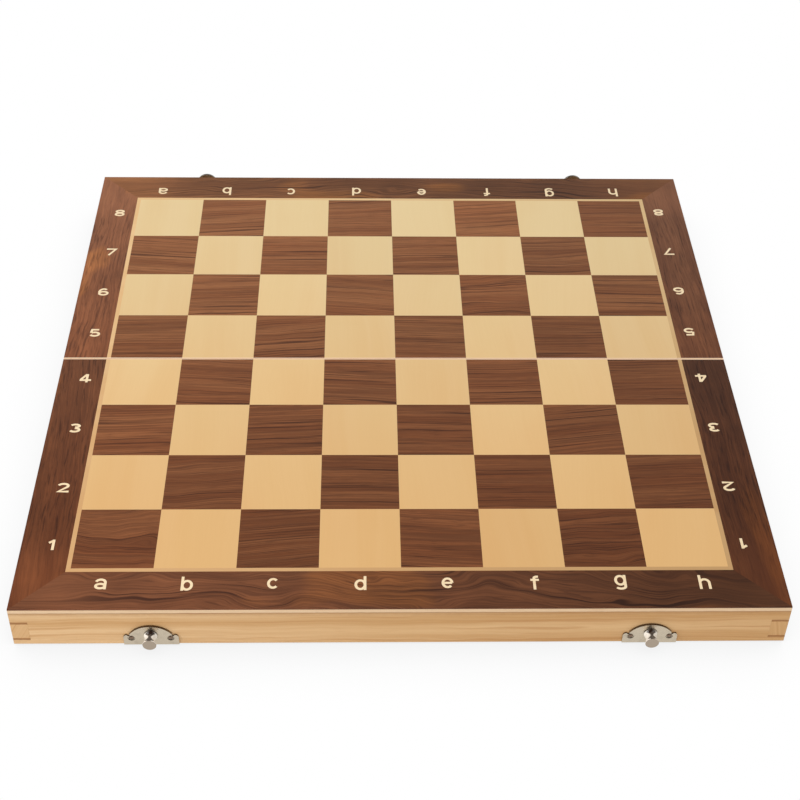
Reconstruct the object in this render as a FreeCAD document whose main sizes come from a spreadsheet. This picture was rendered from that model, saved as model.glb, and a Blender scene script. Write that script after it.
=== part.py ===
"""Folding chess board: two hinged trays with an inlaid playing field and two swing-hook catches.

Frame: +X along the ranks (file a at -X), +Y from the near half to the far half, +Z up.
The origin lies on the supporting surface, under the middle of the hinge line. Lengths are millimetres.
"""
import FreeCAD
import Part
import Sketcher
import os

SIZES = {
    # Playing field and its veneers
    "square_size": 40.8,
    "stringing_width": 2.3,
    "border_width": 24.5,
    "veneer_thickness": 0.6,
    "panel_thickness": 2.4,
    # Saw cut between ranks 4 and 5
    "saw_kerf": 1.8,
    "seam_gap": 0.6,
    "edge_band_thickness": 0.45,
    # Rails of the trays
    "rail_height": 22.0,
    "rail_thickness": 8.5,
    "finger_height": 11.5,
    "finger_rise": 3.5,
    "felt_thickness": 1.0,
    "closed_gap": 0.4,
    # Butt hinges in the rims along the saw cut
    "hinge_inset": 80.0,
    "leaf_length": 22.0,
    "leaf_margin": 1.8,
    "leaf_thickness": 0.8,
    "leaf_side_clearance": 0.1,
    "barrel_diameter": 2.4,
    "barrel_relief": 0.3,
    "far_knuckle_length": 7.4,
    "knuckle_gap": 0.15,
    "pin_diameter": 1.2,
    "pin_head_diameter": 1.8,
    "pin_head_length": 0.4,
    "running_clearance": 0.05,
    # Countersunk hinge screws
    "screw_head_diameter": 3.4,
    "screw_shank_diameter": 1.8,
    "screw_length": 6.0,
    "screw_end_inset": 4.5,
    "screw_edge_inset": 3.4,
    "fastener_clearance": 0.05,
    # Half-moon catch plates
    "catch_inset": 67.4,
    "plate_width": 27.0,
    "plate_height": 13.5,
    "plate_thickness": 0.8,
    "shoulder_inset": 2.6,
    "shoulder_height": 7.0,
    "shoulder_notch_diameter": 1.4,
    "ear_radius": 1.8,
    "bead_width": 1.1,
    "bead_height": 0.5,
    "dimple_diameter": 3.6,
    "dimple_depth": 0.4,
    # Plate nails
    "nail_inset": 3.9,
    "nail_rise": 4.8,
    "nail_head_diameter": 2.6,
    "nail_head_height": 0.6,
    "nail_shank_diameter": 1.3,
    "nail_length": 6.5,
    # Waisted catch studs
    "stud_rise": 6.8,
    "stud_diameter": 6.7,
    "stud_waist_diameter": 5.3,
    "stud_length": 6.3,
    "stud_lip": 0.55,
    "tenon_diameter": 3.0,
    "tenon_depth": 5.0,
    # Swing hooks and their rivets
    "pivot_rise": 5.6,
    "pivot_pin_diameter": 3.2,
    "pivot_shoulder_diameter": 5.6,
    "pivot_head_diameter": 6.0,
    "pivot_head_height": 1.4,
    "hook_thickness": 1.2,
    "hook_side_gap": 0.15,
    "hook_tip_radius": 6.5,
    "hook_eye_diameter": 8.4,
    "hook_shank_width": 5.0,
    "jaw_clearance": 0.35,
}

FILES = 8
RANKS_PER_HALF = 4

document = FreeCAD.newDocument("FoldingChessBoard")
sheet = document.addObject("Spreadsheet::Sheet", "Sizes")
for row, (alias, value) in enumerate(SIZES.items(), start=1):
    sheet.set(f"A{row}", alias)
    sheet.set(f"B{row}", str(value))
    sheet.setAlias(f"B{row}", alias)
document.recompute()

# Lengths that follow from the driving sizes, as expressions of the sheet
FIELD_HALF = f"({FILES / 2} * Sizes.square_size)"
STRINGING_HALF = f"({FIELD_HALF} + Sizes.stringing_width)"
HALF_WIDTH = f"({STRINGING_HALF} + Sizes.border_width)"
SEAM_FACE = "(Sizes.seam_gap / 2)"
SHIFT = f"({SEAM_FACE} - Sizes.saw_kerf / 2)"
BAND_INNER = f"({SEAM_FACE} + Sizes.edge_band_thickness)"
FIELD_END = f"({RANKS_PER_HALF} * Sizes.square_size + {SHIFT})"
STRINGING_END = f"({FIELD_END} + Sizes.stringing_width)"
REACH = f"({STRINGING_END} + Sizes.border_width)"
AXIS_HEIGHT = "(Sizes.barrel_diameter / 2)"
RIM = f"({AXIS_HEIGHT} + Sizes.closed_gap / 2)"
LEAF_TOP = f"({RIM} + Sizes.leaf_thickness)"
RAIL_TOP = f"({RIM} + Sizes.rail_height)"
FELT_BOTTOM = f"({RAIL_TOP} - Sizes.felt_thickness)"
PANEL_TOP = f"({RAIL_TOP} + Sizes.panel_thickness)"
BOARD_TOP = f"({PANEL_TOP} + Sizes.veneer_thickness)"
FINGER_BOTTOM = f"({RIM} + Sizes.finger_rise)"
FINGER_TOP = f"({FINGER_BOTTOM} + Sizes.finger_height)"
TRAY_HALF_WIDTH = f"({HALF_WIDTH} - Sizes.rail_thickness)"
TRAY_INNER = f"({SEAM_FACE} + Sizes.rail_thickness)"
TRAY_OUTER = f"({REACH} - Sizes.rail_thickness)"
LEAF_WIDTH = f"({TRAY_INNER} - Sizes.leaf_margin)"
RELIEF_RADIUS = "(Sizes.barrel_diameter / 2 + Sizes.barrel_relief)"
BORE_RADIUS = "(Sizes.pin_diameter / 2 + Sizes.running_clearance)"
SHOULDER_WIDTH = "(Sizes.plate_width - 2 * Sizes.shoulder_inset)"
NAIL_HEIGHT = f"({RIM} + Sizes.nail_rise)"
DIMPLE_SEAT = "(Sizes.plate_thickness - Sizes.dimple_depth)"
STUD_HEIGHT = f"({RIM} + Sizes.stud_rise)"
PIVOT_HEIGHT = f"({RIM} + Sizes.pivot_rise)"
HOOK_MIDDLE = "(Sizes.plate_thickness + Sizes.stud_length / 2)"
HOOK_INNER = f"({HOOK_MIDDLE} - Sizes.hook_thickness / 2)"
HOOK_OUTER = f"({HOOK_MIDDLE} + Sizes.hook_thickness / 2)"
HOOK_LENGTH = "(Sizes.stud_rise + Sizes.pivot_rise + Sizes.closed_gap)"
JAW_RADIUS = "(Sizes.stud_waist_diameter / 2 + Sizes.jaw_clearance)"

ALONG_X = FreeCAD.Rotation(FreeCAD.Vector(0, 1, 0), 90)
ALONG_Z = FreeCAD.Rotation()
ALONG_Y = FreeCAD.Rotation(FreeCAD.Vector(1, 0, 0), -90)
AGAINST_Y = FreeCAD.Rotation(FreeCAD.Vector(1, 0, 0), 90)

pieces = {}


class Side:
    """One half of the board: its name, and the sign of Y on its side of the hinge line."""

    def __init__(self, name, sign, outward):
        self.name = name
        self.sign = sign
        self.outward = outward

    def at(self, distance):
        """Y of a point this far from the hinge line."""
        return f"({self.sign} * ({distance}))"

    def span(self, inner, outer):
        """Y range between two distances from the hinge line, lowest first."""
        low, high = sorted((inner, outer), key=lambda distance: self.sign * number(distance))
        return self.at(low), self.at(high)

    def proud(self, low, high):
        """Y range between two distances outside the outer rail's face."""
        return self.span(f"({REACH} + {low})", f"({REACH} + {high})")


NEAR = Side("near", -1, AGAINST_Y)
FAR = Side("far", 1, ALONG_Y)
HANDS = {"left": -1, "right": 1}


def number(expression):
    """Value of an expression of the sheet."""
    return float(sheet.evalExpression(expression))


def bind(feature, expressions):
    """Tie the properties of a feature to expressions of the sheet."""
    for path, expression in expressions.items():
        feature.setExpression(path, expression)
    return feature


def around(centre, half):
    """Range of the same reach on both sides of a centre."""
    return f"({centre} - {half})", f"({centre} + {half})"


def flank(sign, inner, outer):
    """X range between two distances from the middle, on the side that the sign gives, lowest first."""
    return [f"({sign} * {edge})" for edge in (inner, outer)[::sign]]


def new_name(stem):
    """Object name made from the words of a stem."""
    return "".join(word.capitalize() for word in stem.split("_"))


def box(stem, x_range, y_range, z_range):
    """Block between three pairs of expressions."""
    block = document.addObject("Part::Box", new_name(stem))
    sides = {"Length": x_range, "Width": y_range, "Height": z_range}
    for (size, (low, high)), axis in zip(sides.items(), "xyz"):
        bind(block, {size: f"{high} - {low}", f"Placement.Base.{axis}": low})
    return block


def placed(feature, turn, x, y, z):
    """Turn a feature and tie its base point to expressions."""
    feature.Placement = FreeCAD.Placement(FreeCAD.Vector(), turn)
    return bind(feature, {"Placement.Base.x": x, "Placement.Base.y": y, "Placement.Base.z": z})


def rod(stem, turn, base, radius, length):
    """Cylinder from a base point along the turned Z axis."""
    cylinder = document.addObject("Part::Cylinder", new_name(stem))
    bind(cylinder, {"Radius": radius, "Height": length})
    return placed(cylinder, turn, *base)


def dome(stem, side, x, seat, z, radius, rise):
    """Spherical cap standing outward on a seat outside the outer rail's face."""
    ball_radius = f"(({radius})^2 + ({rise})^2) / (2 * ({rise}))"
    depth = f"({ball_radius} - ({rise}))"
    cap = document.addObject("Part::Sphere", new_name(stem))
    bind(cap, {"Radius": ball_radius, "Angle1": f"asin({depth} / ({ball_radius}))"})
    return placed(cap, side.outward, x, side.at(f"{REACH} + {seat} - {depth}"), z)


def fused(stem, features):
    """One solid from overlapping features."""
    union = document.addObject("Part::MultiFuse", new_name(stem))
    union.Shapes = features
    union.Refine = True
    return union


def shared(stem, features):
    """The space that all the features have in common."""
    overlap = document.addObject("Part::MultiCommon", new_name(stem))
    overlap.Shapes = features
    return overlap


def without(stem, feature, tools):
    """A feature with the space of the tools taken away."""
    tool = tools[0]
    if len(tools) > 1:
        tool = fused(f"{stem}_tools", tools)
    rest = document.addObject("Part::Cut", new_name(stem))
    rest.Base = feature
    rest.Tool = tool
    return rest


def group(stem, features):
    """Separate solids kept together."""
    compound = document.addObject("Part::Compound", new_name(stem))
    compound.Links = features
    return compound


def keep(label, feature):
    """Name a finished sub-part and put it on the list of pieces."""
    feature.Label = label
    pieces[label] = feature


def mitred_strip(label, corners):
    """Border veneer padded from its outline on the panel's top face."""
    body = document.addObject("PartDesign::Body", new_name(label))
    sketch = body.newObject("Sketcher::SketchObject", new_name(f"{label}_outline"))
    plane = next(item for item in body.Origin.OriginFeatures if item.Role == "XY_Plane")
    sketch.AttachmentSupport = [(plane, "")]
    sketch.MapMode = "FlatFace"
    points = [FreeCAD.Vector(number(x), number(y), 0) for x, y in corners]
    for index, point in enumerate(points):
        sketch.addGeometry(Part.LineSegment(point, points[(index + 1) % len(points)]))
    for index, corner in enumerate(corners):
        sketch.addConstraint(Sketcher.Constraint("Coincident", (index - 1) % len(points), 2, index, 1))
        for kind, expression in zip(("DistanceX", "DistanceY"), corner):
            datum = sketch.addConstraint(Sketcher.Constraint(kind, -1, 1, index, 1, number(expression)))
            sketch.setExpression(f"Constraints[{datum}]", expression)
    pad = body.newObject("PartDesign::Pad", new_name(f"{label}_pad"))
    pad.Profile = sketch
    bind(pad, {"Length": "Sizes.veneer_thickness"})
    bind(body, {"Placement.Base.z": PANEL_TOP})
    keep(label, body)


def squares(side):
    """Walnut and maple veneer squares of four ranks; the rank at the seam is trimmed by the saw cut."""
    tones = {"dark": [], "light": []}
    for file in range(FILES):
        x_range = [f"({file + step} * Sizes.square_size - {FIELD_HALF})" for step in (0, 1)]
        for row in range(RANKS_PER_HALF):
            inner = f"({row} * Sizes.square_size + {SHIFT})" if row else BAND_INNER
            outer = f"({row + 1} * Sizes.square_size + {SHIFT})"
            rank = RANKS_PER_HALF + row if side is FAR else RANKS_PER_HALF - 1 - row
            tone = "light" if (file + rank) % 2 else "dark"
            stem = f"{side.name}_{tone}_square_{file + 1}_{rank + 1}"
            tones[tone].append(box(stem, x_range, side.span(inner, outer), (PANEL_TOP, BOARD_TOP)))
    for tone, blocks in tones.items():
        keep(f"{side.name}_{tone}_squares", group(f"{side.name}_{tone}_squares", blocks))


def stringing(side):
    """Pale line round the squares: one strip across the end and one along each flank."""
    label = f"{side.name}_stringing"
    heights = (PANEL_TOP, BOARD_TOP)
    strips = [box(f"{label}_end", around("0", STRINGING_HALF), side.span(FIELD_END, STRINGING_END), heights)]
    for hand, sign in HANDS.items():
        x_range = flank(sign, FIELD_HALF, STRINGING_HALF)
        strips.append(box(f"{label}_{hand}", x_range, side.span(BAND_INNER, FIELD_END), heights))
    keep(label, group(label, strips))


def borders(side, end_name):
    """Three border veneers, mitred at the two outer corners and square at the seam."""
    end, inner_end, seam = side.at(REACH), side.at(STRINGING_END), side.at(BAND_INNER)
    mitred_strip(f"{side.name}_border_{end_name}", [
        (f"-{HALF_WIDTH}", end), (HALF_WIDTH, end),
        (STRINGING_HALF, inner_end), (f"-{STRINGING_HALF}", inner_end)])
    for hand, sign in HANDS.items():
        outside, inside = (f"({sign} * {half})" for half in (HALF_WIDTH, STRINGING_HALF))
        mitred_strip(f"{side.name}_border_{hand}", [
            (outside, end), (inside, inner_end), (inside, seam), (outside, seam)])


def panel_and_lining(side):
    """Panel over the whole half, the band on its sawn edge, and the felt under it."""
    width = around("0", HALF_WIDTH)
    tray_width = around("0", TRAY_HALF_WIDTH)
    layers = {
        "panel": (width, side.span(BAND_INNER, REACH), (RAIL_TOP, PANEL_TOP)),
        "edge_band": (width, side.span(SEAM_FACE, BAND_INNER), (RAIL_TOP, BOARD_TOP)),
        "felt_lining": (tray_width, side.span(TRAY_INNER, TRAY_OUTER), (FELT_BOTTOM, RAIL_TOP)),
    }
    for name, ranges in layers.items():
        keep(f"{side.name}_{name}", box(f"{side.name}_{name}", *ranges))


def catch_centres():
    """X of the two catches."""
    return {hand: f"({sign} * ({HALF_WIDTH} - Sizes.catch_inset))" for hand, sign in HANDS.items()}


def nail_places(centre):
    """X of the two nails of a catch plate."""
    return around(centre, "(Sizes.plate_width / 2 - Sizes.nail_inset)")


def catch_height(side):
    """Height of the stud, or of the hook's rivet."""
    return STUD_HEIGHT if side is NEAR else PIVOT_HEIGHT


def blind_hole(side, stem, x, z, diameter, depth):
    """Tool for a fastener's hole from the outer rail's face inward."""
    full_depth = f"({depth} + Sizes.fastener_clearance)"
    return rod(stem, side.outward, (x, side.at(f"{REACH} - {full_depth}"), z),
               f"{diameter} / 2 + Sizes.fastener_clearance", full_depth)


def catch_holes(side, stem):
    """Tools for the holes that the rivets and nails of both catches enter."""
    tools = []
    for hand, centre in catch_centres().items():
        tools.append(blind_hole(side, f"{stem}_{hand}_rivet_hole", centre, catch_height(side),
                                "Sizes.tenon_diameter", "Sizes.tenon_depth"))
        for index, place in enumerate(nail_places(centre)):
            tools.append(blind_hole(side, f"{stem}_{hand}_nail_hole_{index}", place, NAIL_HEIGHT,
                                    "Sizes.nail_shank_diameter", "Sizes.nail_length"))
    return tools


def outer_rail(side, end_name):
    """Front or back rail, slotted at both ends for the flank rails' fingers and bored for the catches."""
    label = f"{side.name}_{end_name}_rail"
    depths = side.span(TRAY_OUTER, REACH)
    blank = box(f"{label}_blank", around("0", HALF_WIDTH), depths, (RIM, RAIL_TOP))
    tools = catch_holes(side, label)
    for hand, sign in HANDS.items():
        x_range = flank(sign, TRAY_HALF_WIDTH, HALF_WIDTH)
        tools.append(box(f"{label}_{hand}_slot", x_range, depths, (FINGER_BOTTOM, FINGER_TOP)))
    keep(label, without(label, blank, tools))


def flank_rails(side):
    """Left and right rails, each ending in one finger that enters the outer rail."""
    joint = side.span(TRAY_OUTER, REACH)
    for hand, sign in HANDS.items():
        label = f"{side.name}_{hand}_rail"
        x_range = flank(sign, TRAY_HALF_WIDTH, HALF_WIDTH)
        blank = box(f"{label}_blank", x_range, side.span(SEAM_FACE, REACH), (RIM, RAIL_TOP))
        shoulders = [box(f"{label}_lower_shoulder", x_range, joint, (RIM, FINGER_BOTTOM)),
                     box(f"{label}_upper_shoulder", x_range, joint, (FINGER_TOP, RAIL_TOP))]
        keep(label, without(label, blank, shoulders))


def hinge_centres():
    """X of the two hinges."""
    return {hand: f"({sign} * ({HALF_WIDTH} - Sizes.hinge_inset))" for hand, sign in HANDS.items()}


def screw_places(centre, side):
    """Points on the rim where the two screws of a leaf enter."""
    setback = side.at(f"{LEAF_WIDTH} - Sizes.screw_edge_inset")
    return [(x, setback, RIM) for x in around(centre, "(Sizes.leaf_length / 2 - Sizes.screw_end_inset)")]


def spine_rail(side):
    """Rail along the saw cut, recessed for the leaves, relieved round their barrels and bored for screws."""
    label = f"{side.name}_spine_rail"
    blank = box(f"{label}_blank", around("0", TRAY_HALF_WIDTH), side.span(SEAM_FACE, TRAY_INNER),
                (RIM, RAIL_TOP))
    half_recess = "(Sizes.leaf_length / 2 + Sizes.leaf_side_clearance)"
    half_relief = "(Sizes.leaf_length / 2 + Sizes.pin_head_length + Sizes.barrel_relief)"
    recess_depths = side.span(SEAM_FACE, f"({LEAF_WIDTH} + Sizes.leaf_side_clearance)")
    tools = []
    for hand, centre in hinge_centres().items():
        tools.append(box(f"{label}_{hand}_recess", around(centre, half_recess), recess_depths,
                         (RIM, LEAF_TOP)))
        relief_start = (f"({centre} - {half_relief})", "0", AXIS_HEIGHT)
        tools.append(rod(f"{label}_{hand}_relief", ALONG_X, relief_start, RELIEF_RADIUS,
                         f"2 * {half_relief}"))
        for index, place in enumerate(screw_places(centre, side)):
            tools.append(rod(f"{label}_{hand}_screw_hole_{index}", ALONG_Z, place,
                             "Sizes.screw_shank_diameter / 2 + Sizes.fastener_clearance",
                             "Sizes.screw_length + Sizes.fastener_clearance"))
    keep(label, without(label, blank, tools))


def knuckle_ranges(side, centre):
    """X ranges of a leaf's knuckles: the far leaf has the middle one, the near leaf the outer two."""
    middle = "Sizes.far_knuckle_length / 2"
    if side is FAR:
        return [around(centre, middle)]
    first_end, last_end = around(centre, "Sizes.leaf_length / 2")
    first_start, last_start = around(centre, f"({middle} + Sizes.knuckle_gap)")
    return [(first_end, first_start), (last_start, last_end)]


def countersink(stem, place, clearance):
    """Conical seat of a screw head through the thickness of a leaf."""
    taper = document.addObject("Part::Cone", new_name(stem))
    bind(taper, {"Radius1": f"Sizes.screw_head_diameter / 2 + {clearance}",
                 "Radius2": f"Sizes.screw_shank_diameter / 2 + {clearance}",
                 "Height": "Sizes.leaf_thickness"})
    return placed(taper, ALONG_Z, *place)


def hinge_leaf(side, hand, centre):
    """Flat leaf let into the rim, with its knuckles rolled round the pin."""
    label = f"{hand}_hinge_{side.name}_leaf"
    heights = (RIM, LEAF_TOP)
    parts = [box(f"{label}_plate", around(centre, "Sizes.leaf_length / 2"),
                 side.span(RELIEF_RADIUS, LEAF_WIDTH), heights)]
    bores = []
    for index, (low, high) in enumerate(knuckle_ranges(side, centre)):
        axis_point = (low, "0", AXIS_HEIGHT)
        parts.append(box(f"{label}_root_{index}", (low, high), side.span("0", RELIEF_RADIUS), heights))
        parts.append(rod(f"{label}_knuckle_{index}", ALONG_X, axis_point, "Sizes.barrel_diameter / 2",
                         f"{high} - {low}"))
        bores.append(rod(f"{label}_bore_{index}", ALONG_X, axis_point, BORE_RADIUS, f"{high} - {low}"))
    for index, place in enumerate(screw_places(centre, side)):
        bores.append(countersink(f"{label}_countersink_{index}", place, "Sizes.fastener_clearance"))
    keep(label, without(label, fused(f"{label}_blank", parts), bores))


def hinge_pin(hand, centre):
    """Pin through the knuckles, with a small head at each end."""
    label = f"{hand}_hinge_pin"
    head_length = "Sizes.pin_head_length"
    shank_start, last_head = around(centre, "Sizes.leaf_length / 2")
    first_head = f"({shank_start} - {head_length})"
    parts = [rod(f"{label}_shank", ALONG_X, (shank_start, "0", AXIS_HEIGHT), "Sizes.pin_diameter / 2",
                 "Sizes.leaf_length")]
    for end, start in enumerate((first_head, last_head)):
        parts.append(rod(f"{label}_head_{end}", ALONG_X, (start, "0", AXIS_HEIGHT),
                         "Sizes.pin_head_diameter / 2", head_length))
    keep(label, fused(label, parts))


def hinge_screws(side):
    """Countersunk screws of both leaves of one half, flush with the rim."""
    label = f"{side.name}_hinge_screws"
    screws = []
    for hand, centre in hinge_centres().items():
        for index, place in enumerate(screw_places(centre, side)):
            stem = f"{label}_{hand}_{index}"
            head = countersink(f"{stem}_head", place, "0")
            shank = rod(f"{stem}_shank", ALONG_Z, place, "Sizes.screw_shank_diameter / 2",
                        "Sizes.screw_length")
            screws.append(fused(stem, [head, shank]))
    keep(label, group(label, screws))


def catch_plate(side, hand, centre):
    """Half-moon plate on the rail: an arched top between two shoulders, rounded ears and a raised bead."""
    label = f"{side.name}_{hand}_catch_plate"
    sheet_range = side.proud("0", "Sizes.plate_thickness")
    shoulder = f"({RIM} + Sizes.shoulder_height)"
    crown = f"({RIM} + Sizes.plate_height)"
    arch_rise = "(Sizes.plate_height - Sizes.shoulder_height)"
    arch_radius = f"(({arch_rise}^2 + ({SHOULDER_WIDTH} / 2)^2) / (2 * {arch_rise}))"
    arch_point = (centre, side.at(REACH), f"({crown} - {arch_radius})")

    def across(width):
        return around(centre, f"{width} / 2")

    def disc(stem, radius, thickness, point):
        return rod(f"{label}_{stem}", side.outward, point, radius, thickness)

    arch = shared(f"{label}_arch", [
        disc("arch_disc", arch_radius, "Sizes.plate_thickness", arch_point),
        box(f"{label}_arch_window", across(SHOULDER_WIDTH), sheet_range, (shoulder, crown))])
    ear_height = f"({shoulder} - Sizes.ear_radius)"
    middle_width = across("(Sizes.plate_width - 2 * Sizes.ear_radius)")
    foot = [box(f"{label}_foot", across("Sizes.plate_width"), sheet_range, (RIM, ear_height)),
            box(f"{label}_middle", middle_width, sheet_range, (RIM, shoulder))]
    for ear, sign in HANDS.items():
        ear_x = f"({centre} + {sign} * (Sizes.plate_width / 2 - Sizes.ear_radius))"
        round_ear = disc(f"{ear}_ear_disc", "Sizes.ear_radius", "Sizes.plate_thickness",
                         (ear_x, side.at(REACH), ear_height))
        window = box(f"{label}_{ear}_ear_window", across("Sizes.plate_width"), sheet_range, (RIM, shoulder))
        foot.append(shared(f"{label}_{ear}_ear", [round_ear, window]))
    bead_thickness = "(Sizes.plate_thickness + Sizes.bead_height)"
    ring = without(f"{label}_bead_ring", disc("bead_outer", arch_radius, bead_thickness, arch_point), [
        disc("bead_inner", f"{arch_radius} - Sizes.bead_width", bead_thickness, arch_point)])
    bead_end = f"({shoulder} + Sizes.shoulder_notch_diameter / 2)"
    bead_width = across(f"({SHOULDER_WIDTH} - Sizes.shoulder_notch_diameter)")
    bead_window = box(f"{label}_bead_window", bead_width, side.proud("0", bead_thickness), (bead_end, crown))
    bead = shared(f"{label}_bead", [ring, bead_window])
    cuts = [disc("rivet_hole", "Sizes.tenon_diameter / 2 + Sizes.fastener_clearance",
                 "Sizes.plate_thickness", (centre, side.at(REACH), catch_height(side)))]
    for end, sign in HANDS.items():
        notch_x = f"({centre} + {sign} * {SHOULDER_WIDTH} / 2)"
        cuts.append(disc(f"{end}_notch", "Sizes.shoulder_notch_diameter / 2", bead_thickness,
                         (notch_x, side.at(REACH), shoulder)))
    seat = side.at(f"{REACH} + {DIMPLE_SEAT}")
    for index, place in enumerate(nail_places(centre)):
        cuts.append(disc(f"nail_hole_{index}", "Sizes.nail_shank_diameter / 2 + Sizes.fastener_clearance",
                         "Sizes.plate_thickness", (place, side.at(REACH), NAIL_HEIGHT)))
        cuts.append(disc(f"dimple_{index}", "Sizes.dimple_diameter / 2", "Sizes.dimple_depth",
                         (place, seat, NAIL_HEIGHT)))
    keep(label, without(label, fused(f"{label}_blank", [arch, bead] + foot), cuts))


def catch_nails(side):
    """Round-headed nails of both plates, seated in the dimples of the plates."""
    label = f"{side.name}_catch_nails"
    point = side.at(f"{REACH} - Sizes.nail_length")
    nails = []
    for hand, centre in catch_centres().items():
        for index, place in enumerate(nail_places(centre)):
            stem = f"{label}_{hand}_{index}"
            shank = rod(f"{stem}_shank", side.outward, (place, point, NAIL_HEIGHT),
                        "Sizes.nail_shank_diameter / 2", f"Sizes.nail_length + {DIMPLE_SEAT}")
            head = dome(f"{stem}_head", side, place, DIMPLE_SEAT, NAIL_HEIGHT,
                        "Sizes.nail_head_diameter / 2", "Sizes.nail_head_height")
            nails.append(fused(stem, [shank, head]))
    keep(label, group(label, nails))


def tenon(side, stem, centre):
    """Shank of a rivet through the plate and into the rail."""
    start = side.at(f"{REACH} - Sizes.tenon_depth")
    return rod(stem, side.outward, (centre, start, catch_height(side)), "Sizes.tenon_diameter / 2",
               "Sizes.tenon_depth + Sizes.plate_thickness")


def catch_stud(side, hand, centre):
    """Stud on a catch plate, waisted between two lips so that a hook can hold it."""
    label = f"{side.name}_{hand}_catch_stud"
    base = side.at(f"{REACH} + Sizes.plate_thickness")
    blank = rod(f"{label}_blank", side.outward, (centre, base, STUD_HEIGHT), "Sizes.stud_diameter / 2",
                "Sizes.stud_length")
    depth = "((Sizes.stud_diameter - Sizes.stud_waist_diameter) / 2)"
    half_groove = "(Sizes.stud_length / 2 - Sizes.stud_lip)"
    groove_radius = f"(({half_groove}^2 + {depth}^2) / (2 * {depth}))"
    groove = document.addObject("Part::Torus", new_name(f"{label}_groove"))
    bind(groove, {"Radius1": f"Sizes.stud_waist_diameter / 2 + {groove_radius}", "Radius2": groove_radius})
    placed(groove, side.outward, centre, side.at(f"{REACH} + {HOOK_MIDDLE}"), STUD_HEIGHT)
    waisted = without(f"{label}_waisted", blank, [groove])
    keep(label, fused(label, [waisted, tenon(side, f"{label}_tenon", centre)]))


def hook_pivot(side, hand, centre):
    """Rivet that carries a hook: a shoulder on the plate, a pin through the hook's eye and a domed head."""
    label = f"{side.name}_{hand}_hook_pivot"
    shoulder_end = f"({HOOK_INNER} - Sizes.hook_side_gap)"
    head_seat = f"({HOOK_OUTER} + Sizes.hook_side_gap)"
    base = side.at(f"{REACH} + Sizes.plate_thickness")
    shoulder = rod(f"{label}_shoulder", side.outward, (centre, base, PIVOT_HEIGHT),
                   "Sizes.pivot_shoulder_diameter / 2", f"{shoulder_end} - Sizes.plate_thickness")
    pin = rod(f"{label}_pin", side.outward, (centre, side.at(f"{REACH} + {shoulder_end}"), PIVOT_HEIGHT),
              "Sizes.pivot_pin_diameter / 2", f"{head_seat} - {shoulder_end}")
    head = dome(f"{label}_head", side, centre, head_seat, PIVOT_HEIGHT, "Sizes.pivot_head_diameter / 2",
                "Sizes.pivot_head_height")
    keep(label, fused(label, [tenon(side, f"{label}_tenon", centre), shoulder, pin, head]))


def swing_hook(side, hand, centre):
    """Flat hook parked pointing up; its jaw is cut along the arc that the stud takes about the rivet."""
    label = f"{hand}_hook"
    jaw_height = f"({PIVOT_HEIGHT} + {HOOK_LENGTH})"
    inner_face = side.at(f"{REACH} + {HOOK_INNER}")
    y_range = side.proud(HOOK_INNER, HOOK_OUTER)

    def disc(stem, radius, z):
        return rod(f"{label}_{stem}", side.outward, (centre, inner_face, z), radius, "Sizes.hook_thickness")

    blank = fused(f"{label}_blank", [
        disc("eye", "Sizes.hook_eye_diameter / 2", PIVOT_HEIGHT),
        box(f"{label}_shank", around(centre, "Sizes.hook_shank_width / 2"), y_range,
            (PIVOT_HEIGHT, jaw_height)),
        disc("tip", "Sizes.hook_tip_radius", jaw_height)])
    ring = without(f"{label}_slot_ring", disc("slot_outer", f"{HOOK_LENGTH} + {JAW_RADIUS}", PIVOT_HEIGHT), [
        disc("slot_inner", f"{HOOK_LENGTH} - {JAW_RADIUS}", PIVOT_HEIGHT)])
    window = box(f"{label}_slot_window", (centre, f"({centre} + Sizes.hook_tip_radius)"), y_range,
                 (PIVOT_HEIGHT, f"({jaw_height} + Sizes.hook_tip_radius)"))
    keep(label, without(label, blank, [
        disc("eye_bore", "Sizes.pivot_pin_diameter / 2 + Sizes.running_clearance", PIVOT_HEIGHT),
        disc("jaw", JAW_RADIUS, jaw_height),
        shared(f"{label}_slot", [ring, window])]))


def half_board(side, end_name):
    """Everything that both halves have: wood, veneers, hinge leaves, catch plates and their fasteners."""
    outer_rail(side, end_name)
    flank_rails(side)
    spine_rail(side)
    panel_and_lining(side)
    squares(side)
    stringing(side)
    borders(side, end_name)
    for hand, centre in hinge_centres().items():
        hinge_leaf(side, hand, centre)
    hinge_screws(side)
    for hand, centre in catch_centres().items():
        catch_plate(side, hand, centre)
    catch_nails(side)


half_board(NEAR, "front")
half_board(FAR, "back")
for hinge_hand, hinge_x in hinge_centres().items():
    hinge_pin(hinge_hand, hinge_x)
for catch_hand, catch_x in catch_centres().items():
    catch_stud(NEAR, catch_hand, catch_x)
    hook_pivot(FAR, catch_hand, catch_x)
    swing_hook(FAR, catch_hand, catch_x)

document.recompute()
for item in document.Objects:
    if "Invalid" in item.State or "Error" in item.State:
        raise RuntimeError(f"{item.Label} failed: {item.State}")
for piece_label, piece in pieces.items():
    if piece.Shape.isNull() or not piece.Shape.isValid():
        raise RuntimeError(f"{piece_label} has no valid shape")

os.makedirs("parts", exist_ok=True)
for piece_label, piece in pieces.items():
    piece.Shape.exportStep(os.path.join("parts", f"{piece_label}.step"))
    print(f"{piece_label}: {len(piece.Shape.Solids)} solids, {piece.Shape.Volume:.1f} mm3")
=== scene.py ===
"""Looks of a folding chess board: veneers, solid rails, inlaid coordinates, felt and metal fittings.

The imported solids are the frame. Finishes go on them as node materials, and the coordinates and the felt
sheets are pieces that ride on the two halves. Lengths are metres, and names that end in _mm are millimetres.
"""

import logging
import math
from dataclasses import dataclass, field
from enum import Enum
from typing import Callable, Iterable, Mapping, Optional, Sequence, Union

import bmesh
import bpy
from mathutils import Euler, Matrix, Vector, noise
from mathutils.geometry import delaunay_2d_cdt

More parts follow.
